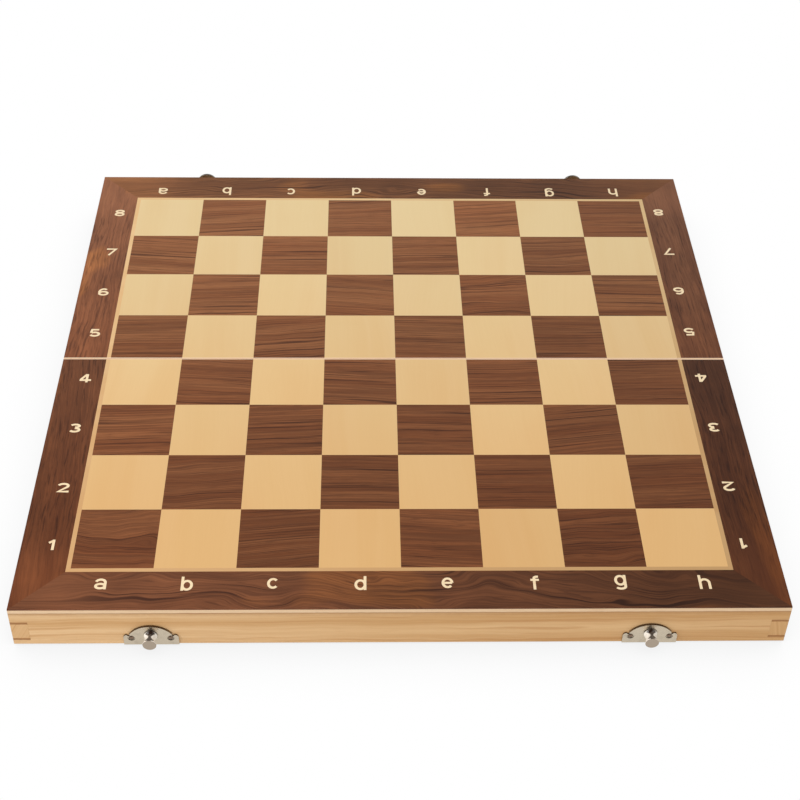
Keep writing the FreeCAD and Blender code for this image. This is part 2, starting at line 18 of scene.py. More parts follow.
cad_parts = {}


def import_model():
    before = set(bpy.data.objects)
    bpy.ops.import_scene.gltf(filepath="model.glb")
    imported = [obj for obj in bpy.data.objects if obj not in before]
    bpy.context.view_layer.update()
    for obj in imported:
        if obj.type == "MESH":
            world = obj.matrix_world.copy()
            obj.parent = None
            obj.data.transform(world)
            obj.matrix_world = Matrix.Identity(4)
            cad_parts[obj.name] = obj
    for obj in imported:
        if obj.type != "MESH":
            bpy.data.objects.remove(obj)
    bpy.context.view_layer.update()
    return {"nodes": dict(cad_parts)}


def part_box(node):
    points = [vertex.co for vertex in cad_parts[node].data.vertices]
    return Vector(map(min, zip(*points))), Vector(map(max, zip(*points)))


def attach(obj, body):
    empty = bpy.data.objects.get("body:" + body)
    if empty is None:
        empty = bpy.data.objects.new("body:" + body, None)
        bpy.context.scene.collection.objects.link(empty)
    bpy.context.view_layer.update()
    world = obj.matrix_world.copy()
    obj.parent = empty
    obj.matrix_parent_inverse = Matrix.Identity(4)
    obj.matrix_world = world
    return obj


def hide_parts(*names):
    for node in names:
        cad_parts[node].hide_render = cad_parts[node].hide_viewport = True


LOG = logging.getLogger("chess_board")
MM = 0.001
FILES = "abcdefgh"
RANKS = "12345678"
MIDDLE = 0.5

Colour = tuple[float, float, float, float]
Point = tuple[float, float]
Triple = tuple[float, float, float]
Socket = bpy.types.NodeSocket
Tree = bpy.types.NodeTree
Piece = bpy.types.Object
Feed = Union["Wire", float, Sequence[float]]
WHITE: Colour = (1.0, 1.0, 1.0, 1.0)


def srgb(red: int, green: int, blue: int) -> Colour:
    """Linear colour of an 8-bit display colour.

    Args:
        red: Red, 0 to 255.
        green: Green, 0 to 255.
        blue: Blue, 0 to 255.

    Returns:
        Linear red, green and blue, and an alpha of 1.
    """
    shares = [channel / 255 for channel in (red, green, blue)]
    linear = [share / 12.92 if share <= 0.04045 else ((share + 0.055) / 1.055) ** 2.4 for share in shares]
    return linear[0], linear[1], linear[2], 1.0


class Half(Enum):
    """The two trays of the board."""

    NEAR = "near"
    FAR = "far"

    @property
    def body(self) -> str:
        """Name of the CAD body of this half."""
        return f"{self.value}_half"

    @property
    def sign(self) -> int:
        """Sign of Y on this side of the hinge line."""
        return -1 if self is Half.NEAR else 1

    @property
    def end(self) -> str:
        """Name of the side away from the hinges."""
        return "front" if self is Half.NEAR else "back"


class Run(Enum):
    """Direction of the grain in the board's frame, as the index of its axis."""

    ALONG_RANKS = 0
    ALONG_FILES = 1


class Kind(Enum):
    """Socket types of the node groups."""

    VALUE = "NodeSocketFloat"
    VECTOR = "NodeSocketVector"


def math_operator(operation: str, swapped: bool = False) -> Callable[["Wire", Feed], "Wire"]:
    """Makes an operator of wires out of a Math node's operation.

    Args:
        operation: Blender's name of the operation.
        swapped: Whether the wire is the second of the two values.

    Returns:
        The operator.
    """
    def apply(wire: "Wire", other: Feed) -> "Wire":
        """Adds the Math node."""
        return wire.graph.math(operation, *((other, wire) if swapped else (wire, other)))

    return apply


@dataclass(frozen=True, eq=False)
class Wire:
    """Output of a node. Operators on it add Math nodes: | is the greater of two values, & the lesser."""

    graph: "Graph"
    socket: Socket

    __add__ = __radd__ = math_operator("ADD")
    __sub__ = math_operator("SUBTRACT")
    __rsub__ = math_operator("SUBTRACT", swapped=True)
    __mul__ = __rmul__ = math_operator("MULTIPLY")
    __truediv__ = math_operator("DIVIDE")
    __pow__ = math_operator("POWER")
    __or__ = math_operator("MAXIMUM")
    __and__ = math_operator("MINIMUM")
    __gt__ = math_operator("GREATER_THAN")
    __lt__ = math_operator("LESS_THAN")

    def __abs__(self) -> "Wire":
        """Distance from 0."""
        return self.graph.math("ABSOLUTE", self)

    def clamped(self) -> "Wire":
        """This value, held between 0 and 1."""
        return self.graph.add("ShaderNodeClamp", {"Value": self})[0]

    def split(self) -> list["Wire"]:
        """X, Y and Z of this vector."""
        parts = self.graph.add("ShaderNodeSeparateXYZ", {0: self})
        return [parts[axis] for axis in range(3)]

    def times(self, factors: Feed) -> "Wire":
        """This vector or colour, multiplied part by part."""
        return self.graph.vector("MULTIPLY", self, factors)

    def ramp(self, low: float, high: float, bottom: float = 0.0, top: float = 1.0) -> "Wire":
        """This value, mapped smoothly from one range to another and held there."""
        inputs = {"Value": self, "From Min": low, "From Max": high, "To Min": bottom, "To Max": top}
        return self.graph.add("ShaderNodeMapRange", inputs, interpolation_type="SMOOTHSTEP")[0]


@dataclass(frozen=True)
class Outputs:
    """Outputs of a node, by name or place."""

    graph: "Graph"
    node: bpy.types.Node

    def __getitem__(self, key: Union[str, int]) -> Wire:
        """One output."""
        return Wire(self.graph, self.node.outputs[key])


@dataclass
class Graph:
    """Adds nodes to one shader tree and wires them."""

    tree: Tree

    def feed(self, target: Socket, value: Feed) -> None:
        """Links the target to a wire, or sets its own value.

        Args:
            target: Input socket.
            value: Wire or plain value. A single number goes into every part of a vector.
        """
        if isinstance(value, Wire):
            self.tree.links.new(value.socket, target)
        else:
            spread = isinstance(value, float) and target.type == "VECTOR"
            target.default_value = (value,) * 3 if spread else value

    def add(self, kind: str, inputs: Optional[Mapping[Union[str, int], Feed]] = None,
            **settings: object) -> Outputs:
        """Adds a node.

        Args:
            kind: Blender's name of the node type.
            inputs: What feeds its input sockets.
            **settings: Its properties, set before the inputs.

        Returns:
            Its outputs.
        """
        node = self.tree.nodes.new(kind)
        for name, setting in settings.items():
            setattr(node, name, setting)
        for key, value in (inputs or {}).items():
            self.feed(node.inputs[key], value)
        return Outputs(self, node)

    def math(self, operation: str, *values: Feed) -> Wire:
        """Result of a Math node."""
        return self.add("ShaderNodeMath", dict(enumerate(values)), operation=operation)[0]

    def vector(self, operation: str, *values: Feed, output: str = "Vector") -> Wire:
        """Result of a Vector Math node; its output Value is a number, such as a length."""
        return self.add("ShaderNodeVectorMath", dict(enumerate(values)), operation=operation)[output]

    def join(self, *parts: Feed) -> Wire:
        """Vector of three numbers."""
        return self.add("ShaderNodeCombineXYZ", dict(enumerate(parts)))[0]

    def chance(self, cell: Feed) -> Wire:
        """Random vector that stays the same within one cell."""
        return self.add("ShaderNodeTexWhiteNoise", {"Vector": cell}, noise_dimensions="3D")["Color"]

    def blend(self, factor: Feed, first: Feed, second: Feed) -> Wire:
        """Colour between two colours."""
        return self.add("ShaderNodeMix", {0: factor, 6: first, 7: second}, data_type="RGBA")[2]


@dataclass(frozen=True)
class Speckle:
    """Noise with a scale per millimetre, the levels that a mask of it fades between, and its span about 0."""

    scale: Union[float, Triple]
    detail: float = 2.0
    roughness: float = 0.5
    low: float = 0.0
    high: float = 1.0
    span: float = 1.0

    def level(self, place: Wire) -> Wire:
        """The noise itself, from 0 to 1."""
        inputs = {"Vector": place.times(self.scale), "Scale": 1.0, "Detail": self.detail}
        return place.graph.add("ShaderNodeTexNoise", {**inputs, "Roughness": self.roughness})[0]

    def cut(self, level: Wire) -> Wire:
        """The mask that a level of this noise makes."""
        return level.ramp(self.low, self.high)

    def mask(self, place: Wire) -> Wire:
        """The noise as a mask."""
        return self.cut(self.level(place))

    def swing(self, place: Wire) -> Wire:
        """The noise about 0."""
        return (self.level(place) - MIDDLE) * self.span


def open_group(name: str, inputs: Mapping[str, Kind], outputs: Mapping[str, Kind]) -> tuple[Graph, Outputs]:
    """Starts a shader node group whose first input is a place in millimetres.

    Args:
        name: Name of the group.
        inputs: Its other input sockets and their types.
        outputs: Its output sockets and their types.

    Returns:
        The group's graph, and the wires that bring values in.
    """
    tree = bpy.data.node_groups.new(name, "ShaderNodeTree")
    for way, sockets in (("INPUT", {"Place": Kind.VECTOR, **inputs}), ("OUTPUT", outputs)):
        for socket, kind in sockets.items():
            tree.interface.new_socket(name=socket, in_out=way, socket_type=kind.value)
    graph = Graph(tree)
    return graph, graph.add("NodeGroupInput")


def close_group(graph: Graph, outputs: Mapping[str, Wire]) -> Tree:
    """Wires what a node group puts out, and gives the group."""
    graph.add("NodeGroupOutput", outputs)
    return graph.tree


@dataclass(frozen=True)
class Joinery:
    """Where the glue lines of the trays run and how wide a square is, in millimetres."""

    half_width_mm: float
    reach_mm: float
    rail_mm: float
    rim_mm: float
    rail_top_mm: float
    cell_mm: float
    finger_rise_mm: float = 3.5
    finger_height_mm: float = 11.5
    line_mm: float = 0.34
    cheek_mm: float = 1.05
    core_share: float = 0.4
    shade_mm: float = 3.2
    shade_share: float = 0.52
    shade_wander: float = 2.0

    @classmethod
    def of_frame(cls) -> "Joinery":
        """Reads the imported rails, lining and squares.

        Returns:
            The lines and the squares.
        """
        rail_low, rail_high = (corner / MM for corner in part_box("near_front_rail"))
        lining_low, _ = (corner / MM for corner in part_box("near_felt_lining"))
        low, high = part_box("near_dark_squares")
        return cls(half_width_mm=rail_high.x, reach_mm=-rail_low.y, rail_mm=lining_low.x - rail_low.x,
                   rim_mm=rail_low.z, rail_top_mm=rail_high.z, cell_mm=(high.x - low.x) / len(FILES) / MM)


class Effects:
    """Shader node groups that several finishes share."""

    marks: Mapping[str, Speckle] = {
        "Streaks": Speckle((0.012, 1.9, 11.3), 3.0, 0.65, 0.36, 0.66),
        "Lines": Speckle((0.007, 0.8, 23.1), 3.0, 0.68, 0.545, 0.63),
        "Flecks": Speckle((0.05, 0.95, 41.7), 2.5, 0.6, 0.42, 0.72),
        "Pores": Speckle((0.08, 3.6, 31.9), 1.0, 0.5, 0.55, 0.68),
    }
    rings = Speckle((0.0018, 1.0, 3.7), 3.0, 0.55, 0.36, 0.64)
    drift = Speckle((0.009, 0.02, 0.02), low=0.35, high=0.68)
    slow_sway = Speckle((0.008, 0.022, 0.022), 1.5, span=2.0)
    quick_sway = Speckle((0.035, 0.07, 0.07), 1.0, span=0.6)
    broad_gloss = Speckle(0.035, 3.0, span=2.0)
    fine_gloss = Speckle(0.9, span=0.8)
    rubbed = Speckle(0.25, 3.0, 0.65, 0.35, 0.6)
    rubbed_turn: Point = (0.01, 0.2)
    patchy = Speckle(0.6, 3.0, 0.6, 0.2, 0.6)
    patchy_least = 0.5
    hollow_share: Point = (0.25, 0.85)
    wander = Speckle(0.35, span=0.5)
    samples = 6

    def __init__(self, joinery: Joinery) -> None:
        """Builds each group once.

        Args:
            joinery: Where the glue lines run and how wide a square is.
        """
        self.cell_mm = joinery.cell_mm
        self._grain()
        self._lacquer()
        self._edge()
        self._recess()
        self._glue_lines(joinery)

    def _grain(self) -> None:
        """Growth rings round a pith, with streaks, dark lines, flecks and pores drawn out along X."""
        names = ("Rings", "Streaks", "Lines", "Flecks", "Pores", "Drift")
        graph, given = open_group("Wood grain", {"Pith": Kind.VECTOR, "Ring": Kind.VALUE, "Wave": Kind.VALUE},
                                  dict.fromkeys(names, Kind.VALUE))
        place = given["Place"]
        along, across, deep = place.split()
        sway = self.slow_sway.swing(place) + self.quick_sway.swing(place)
        from_pith = graph.vector("SUBTRACT", graph.join(0.0, across, deep), given["Pith"])
        radius = sway * given["Wave"] + graph.vector("LENGTH", from_pith, output="Value")
        drawn_out = graph.join(along, radius, 1.0)
        made = {name: speckle.mask(drawn_out) for name, speckle in self.marks.items()}
        made["Rings"] = self.rings.mask(graph.join(along, radius / given["Ring"], 1.0))
        made["Drift"] = self.drift.mask(place)
        self.grain = close_group(graph, made)

    def _lacquer(self) -> None:
        """Uneven gloss and faint ripple of a sprayed clear coat."""
        graph, given = open_group("Lacquer", {"Roughness": Kind.VALUE, "Spread": Kind.VALUE},
                                  {"Roughness": Kind.VALUE, "Ripple": Kind.VALUE})
        ripple = self.fine_gloss.level(given["Place"])
        uneven = self.broad_gloss.swing(given["Place"]) + (ripple - MIDDLE) * self.fine_gloss.span
        rough = (uneven * given["Spread"] + given["Roughness"]).clamped()
        self.lacquer = close_group(graph, {"Roughness": rough, "Ripple": ripple})

    def _edge(self) -> None:
        """Softened normal near sharp edges, and a broken mask of where they are rubbed."""
        graph, given = open_group("Edge wear", {"Reach": Kind.VALUE},
                                  {"Wear": Kind.VALUE, "Normal": Kind.VECTOR})
        softened = graph.add("ShaderNodeBevel", {"Radius": given["Reach"]}, samples=self.samples)[0]
        true_normal = graph.add("ShaderNodeNewGeometry")["Normal"]
        turned = 1.0 - graph.vector("DOT_PRODUCT", softened, true_normal, output="Value")
        wear = turned.ramp(*self.rubbed_turn) * self.rubbed.mask(given["Place"])
        self.edge = close_group(graph, {"Wear": wear, "Normal": softened})

    def _recess(self) -> None:
        """Mask of corners and hollows where dirt and tarnish stay."""
        graph, given = open_group("Recess dirt", {"Reach": Kind.VALUE}, {"Mask": Kind.VALUE})
        reach = {"Distance": given["Reach"]}
        open_share = graph.add("ShaderNodeAmbientOcclusion", reach, samples=self.samples)["AO"]
        closed = open_share.ramp(*self.hollow_share, 1.0, 0.0)
        patchy = self.patchy.mask(given["Place"]) * (1.0 - self.patchy_least) + self.patchy_least
        self.recess = close_group(graph, {"Mask": closed * patchy})

    def _glue_lines(self, joinery: Joinery) -> None:
        """Mask of the glue lines at the finger joints and under the panel, and of a soft darker band that
        fades down the top of the rail.

        Args:
            joinery: Where the lines run.
        """
        graph, given = open_group("Glue lines", {}, {"Mask": Kind.VALUE})
        x, y, z = given["Place"].split()
        wander = self.wander.swing(given["Place"])

        def level_line(level: float, width: float) -> Wire:
            """Mask of a thin line at a height."""
            return abs(z - level + wander).ramp(width, joinery.core_share * width)

        corner = ((abs(x) > joinery.half_width_mm - joinery.rail_mm)
                  * (abs(y) > joinery.reach_mm - joinery.rail_mm))
        finger_low = joinery.rim_mm + joinery.finger_rise_mm
        finger_high = finger_low + joinery.finger_height_mm
        cheeks = level_line(finger_low, joinery.cheek_mm) | level_line(finger_high, joinery.cheek_mm)
        # A soft band darkens the top few millimetres of the rail just under the panel.
        top = joinery.rail_top_mm
        uneven = z + wander * joinery.shade_wander
        shade = uneven.ramp(top - joinery.shade_mm, top, 0.0, joinery.shade_share) * (z < top)
        under = level_line(top, joinery.line_mm) | shade
        self.glue_lines = close_group(graph, {"Mask": corner * cheeks | under})


@dataclass(frozen=True)
class Coat:
    """Skin of a surface: how far its gloss varies, how deep its relief is and how much it reflects."""

    spread: float
    relief_mm: float
    relief_share: float
    specular: float = 0.5


class Surface(Graph):
    """Nodes of one material round its shader."""

    piece_cells = 97.0

    def __init__(self, material: bpy.types.Material, effects: Effects) -> None:
        """Finds the shader, and the place on the piece in millimetres of the board's frame.

        Args:
            material: The node material.
            effects: The shared node groups.
        """
        super().__init__(material.node_tree)
        self.inputs = material.node_tree.nodes["Principled BSDF"].inputs
        self.effects = effects
        coordinates = self.add("ShaderNodeTexCoord")
        self.normal = coordinates["Normal"].split()
        self.place = coordinates["Object"].times(1 / MM)

    def effect(self, group: Tree, **inputs: Feed) -> Outputs:
        """A shared node group, at this surface's place unless another is given."""
        return self.add("ShaderNodeGroup", {"Place": self.place, **inputs}, node_tree=group)

    def gloss(self, roughness: float, coat: Coat) -> Outputs:
        """Uneven roughness and fine ripple of a coat."""
        return self.effect(self.effects.lacquer, Roughness=roughness, Spread=coat.spread)

    def piece_chance(self) -> Wire:
        """Random vector of the whole piece."""
        return self.chance(self.add("ShaderNodeObjectInfo")["Random"].times(self.piece_cells))

    def shade(self, coat: Coat, colour: Wire, roughness: Wire, height: Wire,
              normal: Optional[Wire] = None) -> None:
        """Feeds colour, gloss and relief to the shader.

        Args:
            coat: How much the surface reflects and how deep its relief is.
            colour: Its colour.
            roughness: Its roughness.
            height: Its relief.
            normal: The normal that the relief stands on, if not the true one.
        """
        relief = {"Height": height, "Distance": coat.relief_mm * MM, "Strength": coat.relief_share}
        if normal is not None:
            relief["Normal"] = normal
        looks = {"Base Color": colour, "Roughness": roughness, "Specular IOR Level": coat.specular,
                 "Normal": self.add("ShaderNodeBump", relief)[0]}
        for name, value in looks.items():
            self.feed(self.inputs[name], value)


@dataclass(frozen=True)
class Finish:
    """A material that can be made once and put on several pieces."""

    name: str

    def dress(self, surface: Surface) -> None:
        """Feeds the shader. Each finish has its own way."""
        raise NotImplementedError

    def material(self, effects: Effects) -> bpy.types.Material:
        """Makes the node material.

        Args:
            effects: The shared node groups.

        Returns:
            The material.
        """
        made = bpy.data.materials.new(self.name)
        made.use_nodes = True
        self.dress(Surface(made, effects))
        return made


def grain_place(place: Wire, run: Run) -> Wire:
    """Position turned so that X lies along the grain."""
    x, y, z = place.split()
    return place if run is Run.ALONG_RANKS else place.graph.join(y, x, z)


@dataclass(frozen=True)
class Veneer(Finish):
    """Sliced veneer under a satin clear coat; each leaf is cut from another place of the log."""

    base: Colour
    pale: Colour
    line: Colour
    blush: Colour
    run: Run
    by_squares: bool = False
    kerf_shift_mm: float = 0.6
    log_mm: float = 900.0
    ring_mm: float = 6.0
    wave_mm: float = 1.4
    figure_mm: float = 14.0
    figure_power: float = 5.0
    fineness: float = 1.0
    line_share: float = 0.8
    streak_share: float = 0.5
    fleck_share: float = 0.0
    pore_share: float = 0.45
    corner_mm: Point = (126.0, 172.0)
    corner_calm: float = 0.0
    corner_lift: float = 0.0
    cloud: Speckle = Speckle(0.03)
    mottle: float = 0.0
    blush_share: float = 0.3
    blush_from: float = 0.0
    tone: float = 1.0
    tone_spread: float = 0.16
    turn: float = 0.14
    roughness: float = 0.46
    dark_rough: float = 0.08
    ripple_share: float = 0.5
    coat: Coat = Coat(0.05, 0.05, 0.35, 0.18)
    near_tint: Colour = WHITE
    far_tint: Colour = WHITE
    right_tint: Colour = WHITE
    reach_mm: float = 190.0
    pith_mm: Triple = (0.0, -420.0, -260.0)

    def _leaf(self, surface: Surface) -> Wire:
        """Random vector of one leaf: a square of the field, or else a whole piece.

        Args:
            surface: The material's nodes.

        Returns:
            The vector.
        """
        if not self.by_squares:
            return surface.piece_chance()
        x, y, _ = surface.place.split()
        column = surface.math("FLOOR", x / surface.effects.cell_mm)
        row = surface.math("FLOOR", (abs(y) + self.kerf_shift_mm) / surface.effects.cell_mm)
        return surface.chance(surface.join(column, row, surface.math("SIGN", y)))

    def _figure(self, surface: Surface, leaf: Wire) -> Outputs:
        """Grain of one leaf.

        Args:
            surface: The material's nodes.
            leaf: The leaf's random vector.

        Returns:
            The masks of the grain.
        """
        turn, wave, _ = leaf.split()
        local = grain_place(surface.place, self.run).times(self.fineness)
        moved = surface.vector("ADD", local, leaf.times(self.log_mm))
        inputs = {"Vector": moved, "Angle": (turn - MIDDLE) * (2 * self.turn)}
        turned = surface.add("ShaderNodeVectorRotate", inputs, rotation_type="Z_AXIS")[0]
        return surface.effect(surface.effects.grain, Place=turned, Pith=self.pith_mm, Ring=self.ring_mm,
                              Wave=wave ** self.figure_power * self.figure_mm + self.wave_mm)

    def dress(self, surface: Surface) -> None:
        """Feeds colour, gloss and relief of the veneer.

        Args:
            surface: The material's nodes.
        """
        leaf = self._leaf(surface)
        grain = self._figure(surface, leaf)
        x, y, _ = surface.place.split()
        corner = (abs(x) & abs(y)).ramp(*self.corner_mm)
        dark = (grain["Lines"] * self.line_share | grain["Streaks"] * self.streak_share
                | grain["Pores"] * self.pore_share | grain["Flecks"] * self.fleck_share)
        dark = dark * (corner * -self.corner_calm + 1.0)
        colour = surface.blend(grain["Rings"], self.base, self.pale)
        blush = grain["Drift"].ramp(self.blush_from, 1.0) * self.blush_share
        colour = surface.blend(dark, surface.blend(blush, colour, self.blush), self.line)
        tone = (leaf.split()[2] - MIDDLE) * self.tone_spread + self.tone
        tone = tone * (corner * self.corner_lift + 1.0)
        tone = tone * (self.cloud.swing(surface.place) * self.mottle + 1.0)
        # Painted light and shade across the board: darker and warmer towards the near side, paler and cooler
        # towards the far side as if the lacquer showed reflected white, and darker towards the right, away
        # from the key lamp.
        depth_painted_light = surface.blend(y.ramp(-self.reach_mm, self.reach_mm), self.near_tint, self.far_tint)
        width_painted_shade = surface.blend(x.ramp(-self.reach_mm, self.reach_mm), WHITE, self.right_tint)
        gloss = surface.gloss(self.roughness, self.coat)
        surface.shade(self.coat, colour.times(tone).times(depth_painted_light.times(width_painted_shade)),
                      dark * self.dark_rough + gloss["Roughness"], gloss["Ripple"] * self.ripple_share - dark)


@dataclass(frozen=True)
class SolidWood(Finish):
    """Planed softwood: rings along it, end grain across it, and glue lines where it is jointed."""

    early: Colour
    late: Colour
    end: Colour
    glue: Colour
    run: Run
    right_tint: Colour = WHITE
    ring_mm: float = 5.5
    wave_mm: float = 2.0
    stick_mm: Triple = (900.0, 14.0, 14.0)
    ring_share: float = 0.7
    streak_share: float = 0.3
    line_share: float = 0.6
    pore_share: float = 0.16
    sawn_share: float = 0.12
    sawn_turn: Point = (0.7, 0.9)
    sawn_level: float = 0.62
    sawn_blur: float = 0.8
    sawn_rough: float = 0.15
    wear_share: float = 0.25
    glue_share: float = 0.8
    late_rise: float = 0.5
    roughness: float = 0.5
    coat: Coat = Coat(0.07, 0.08, 0.4, 0.25)
    edge_mm: float = 0.3
    tint_mm: Point = (-190.0, 76.0)
    pith_mm: Triple = (0.0, -38.0, -55.0)

    def dress(self, surface: Surface) -> None:
        """Feeds colour, gloss and relief of the wood.

        Args:
            surface: The material's nodes.
        """
        shift = surface.piece_chance().times(self.stick_mm)
        local = surface.vector("ADD", grain_place(surface.place, self.run), shift)
        grain = surface.effect(surface.effects.grain, Place=local, Pith=self.pith_mm, Ring=self.ring_mm,
                               Wave=self.wave_mm)
        sawn = abs(surface.normal[self.run.value]).ramp(*self.sawn_turn)
        rings = (self.sawn_level - grain["Rings"]) * (sawn * self.sawn_blur) + grain["Rings"]
        late = (rings * self.ring_share + grain["Streaks"] * self.streak_share).clamped()
        colour = surface.blend(late, self.early, self.late)
        for mask, share in ((grain["Lines"], self.line_share), (grain["Pores"], self.pore_share),
                            (sawn, self.sawn_share)):
            colour = surface.blend(mask * share, colour, self.end)
        # Painted shade: the rail darkens towards the right, away from the key lamp.
        rightward = surface.place.split()[0].ramp(*self.tint_mm)
        colour = colour.times(surface.blend(rightward, WHITE, self.right_tint))
        edge = surface.effect(surface.effects.edge, Reach=self.edge_mm * MM)
        colour = surface.blend(edge["Wear"] * self.wear_share, colour, self.end)
        glue = surface.effect(surface.effects.glue_lines)["Mask"]
        colour = surface.blend(glue * self.glue_share, colour, self.glue)
        rough = sawn * self.sawn_rough + surface.gloss(self.roughness, self.coat)["Roughness"]
        surface.shade(self.coat, colour, rough, late * self.late_rise - glue, edge["Normal"])


@dataclass(frozen=True)
class PanelEdge(Finish):
    """Pale thin panel whose layers show as fine lines along its edges."""

    pale: Colour
    layer: Colour
    glue: Colour
    patches: Speckle = Speckle((0.09, 0.09, 1.6), 3.0, 0.6, 0.35, 0.7)
    layers: Speckle = Speckle((0.006, 0.006, 1.25), 1.0, 0.5, 0.35, 0.65)
    layer_share: float = 0.6
    glue_share: float = 0.6
    roughness: float = 0.55
    coat: Coat = Coat(0.06, 0.05, 0.4, 0.25)

    def dress(self, surface: Surface) -> None:
        """Feeds colour, gloss and relief of the panel.

        Args:
            surface: The material's nodes.
        """
        shade = self.patches.mask(surface.place) * self.layers.mask(surface.place)
        colour = surface.blend(shade * self.layer_share, self.pale, self.layer)
        glue = surface.effect(surface.effects.glue_lines)["Mask"]
        colour = surface.blend(glue * self.glue_share, colour, self.glue)
        surface.shade(self.coat, colour, surface.gloss(self.roughness, self.coat)["Roughness"], shade)


@dataclass(frozen=True)
class Plating(Finish):
    """Thin plate on pressed steel: hairline scratches, tarnish in the hollows, bright rubbed edges, painted
    dark reflection on top.
    """

    bright: Colour
    # tarnish: dark colour both for tarnish in the hollows and for the painted dark reflection on top.
    tarnish: Colour
    roughness: float
    settled: float = 0.0
    hollow: float = 0.75
    edge_mm: float = 0.18
    hollow_mm: float = 1.6
    upward: Point = (0.25, 0.8)
    scratch: Speckle = Speckle((0.5, 0.5, 7.0), 3.0, 0.7, 0.55, 0.7)
    cloud: Speckle = Speckle(0.28, 3.0, 0.6, 0.45, 0.75)
    cloud_share: float = 0.15
    scratch_rough: float = 0.1
    dirt_rough: float = 0.3
    wear_rough: float = -0.06
    coat: Coat = Coat(0.06, 0.02, 0.25)

    def worn(self, surface: Surface) -> Wire:
        """Mask of the painted dark reflection on what faces up, standing in for the dark room above."""
        return surface.normal[2].ramp(*self.upward) * self.settled

    def tone(self, surface: Surface, dull: Wire) -> Wire:
        """Colour of the metal, darkened by tarnish and by painted dark reflection."""
        return surface.blend(dull, self.bright, self.tarnish)

    def metallic(self, surface: Surface) -> Feed:
        """How far the surface is bare metal: all of it."""
        return 1.0

    def dress(self, surface: Surface) -> None:
        """Feeds colour, gloss and relief of the metal.

        Args:
            surface: The material's nodes.
        """
        scratches = self.scratch.level(surface.place)
        edge = surface.effect(surface.effects.edge, Reach=self.edge_mm * MM)
        dirt = surface.effect(surface.effects.recess, Reach=self.hollow_mm * MM)["Mask"]
        # darkened: painted dark reflection on what faces up, and tarnish in the hollows.
        worn = self.worn(surface) | dirt * self.hollow
        dull = (self.cloud.mask(surface.place) * self.cloud_share + worn).clamped()
        rough = surface.gloss(self.roughness, self.coat)["Roughness"]
        rough = self.scratch.cut(scratches) * self.scratch_rough + rough
        rough = dirt * (self.dirt_rough * self.hollow) + rough
        rough = (edge["Wear"] * self.wear_rough + rough).clamped()
        surface.shade(self.coat, self.tone(surface, dull), rough, scratches, edge["Normal"])
        surface.feed(surface.inputs["Metallic"], self.metallic(surface))


@dataclass(frozen=True)
class StudPlating(Plating):
    """Plating of a waisted stud: painted dark reflection on top, wider where it flares, painted highlights on
    the flanks and a darker face that paints in its dark reflection.
    """

    # Darker colour of the face, which paints in the dark reflection that it shows.
    face: Colour = srgb(170, 155, 138)
    hollow: float = 0.0
    top_from: float = 0.92
    top_fade: float = 0.08
    flare: float = 1.9
    least: float = 0.0001
    face_turn: Point = (0.85, 0.95)
    collar_mm: Point = (190.4, 191.0)
    collar_turn: Point = (0.0, 0.4)

    def worn(self, surface: Surface) -> Wire:
        """Mask of the painted dark reflection on top and of the painted shade at the stud's foot by the
        plate.

        Args:
            surface: The material's nodes.

        Returns:
            The mask.
        """
        # Painted dark reflection along the top, widest where the stud flares, and painted shade at the collar
        # next to the plate.
        _, y, z = surface.normal
        tilt = y * y
        raised = tilt * self.flare + z / ((1.0 - tilt) | self.least) ** 0.5
        outward = abs(surface.place.split()[1])
        collar = outward.ramp(*self.collar_mm, 1.0, 0.0) * z.ramp(*self.collar_turn)
        return (raised.ramp(self.top_from, self.top_from + self.top_fade) | collar) * self.settled

    def tone(self, surface: Surface, dull: Wire) -> Wire:
        """Colour under the painted dark reflection, and of the face."""
        return surface.blend(self.metallic(surface), super().tone(surface, dull), self.face)

    def metallic(self, surface: Surface) -> Feed:
        """Bare metal on the flat outer face; the flanks are a pale non-metal, a painted highlight."""
        return abs(surface.normal[1]).ramp(*self.face_turn)


@dataclass(frozen=True)
class PressedFelt(Finish):
    """Short wool felt: matted fibres of slightly different colours."""

    wool: Colour
    shade: Colour
    fuzz: Colour
    mat: Speckle = Speckle(0.5, 4.0, 0.7, 0.3, 0.7)
    fibre: Speckle = Speckle((2.2, 5.5, 2.2), 3.0, 0.6, 0.52, 0.72)
    fibre_share: float = 0.4
    roughness: float = 0.92
    coat: Coat = Coat(0.05, 0.25, 0.7)
    sheen: float = 0.35
    sheen_roughness: float = 0.6

    def dress(self, surface: Surface) -> None:
        """Feeds colour, gloss and relief of the felt.

        Args:
            surface: The material's nodes.
        """
        matted = self.mat.level(surface.place)
        fibres = self.fibre.level(surface.place)
        colour = surface.blend(self.mat.cut(matted), self.shade, self.wool)
        colour = surface.blend(self.fibre.cut(fibres) * self.fibre_share, colour, self.fuzz)
        gloss = surface.gloss(self.roughness, self.coat)
        surface.shade(self.coat, colour, gloss["Roughness"], matted + fibres)
        surface.feed(surface.inputs["Sheen Weight"], self.sheen)
        surface.feed(surface.inputs["Sheen Roughness"], self.sheen_roughness)


@dataclass(frozen=True)
class CreamInlay(Finish):
    """Cream lettering, a little uneven in tone and thinner where it has been rubbed."""

    cream: Colour
    rubbed: Colour
    patches: Speckle = Speckle(0.35, 4.0, 0.65, 0.5, 0.8)
    roughness: float = 0.48
    coat: Coat = Coat(0.06, 0.02, 0.3, 0.25)

    def dress(self, surface: Surface) -> None:
        """Feeds colour, gloss and relief of the lettering.

        Args:
            surface: The material's nodes.
        """
        colour = surface.blend(self.patches.mask(surface.place), self.cream, self.rubbed)
        gloss = surface.gloss(self.roughness, self.coat)
        surface.shade(self.coat, colour, gloss["Roughness"], gloss["Ripple"])


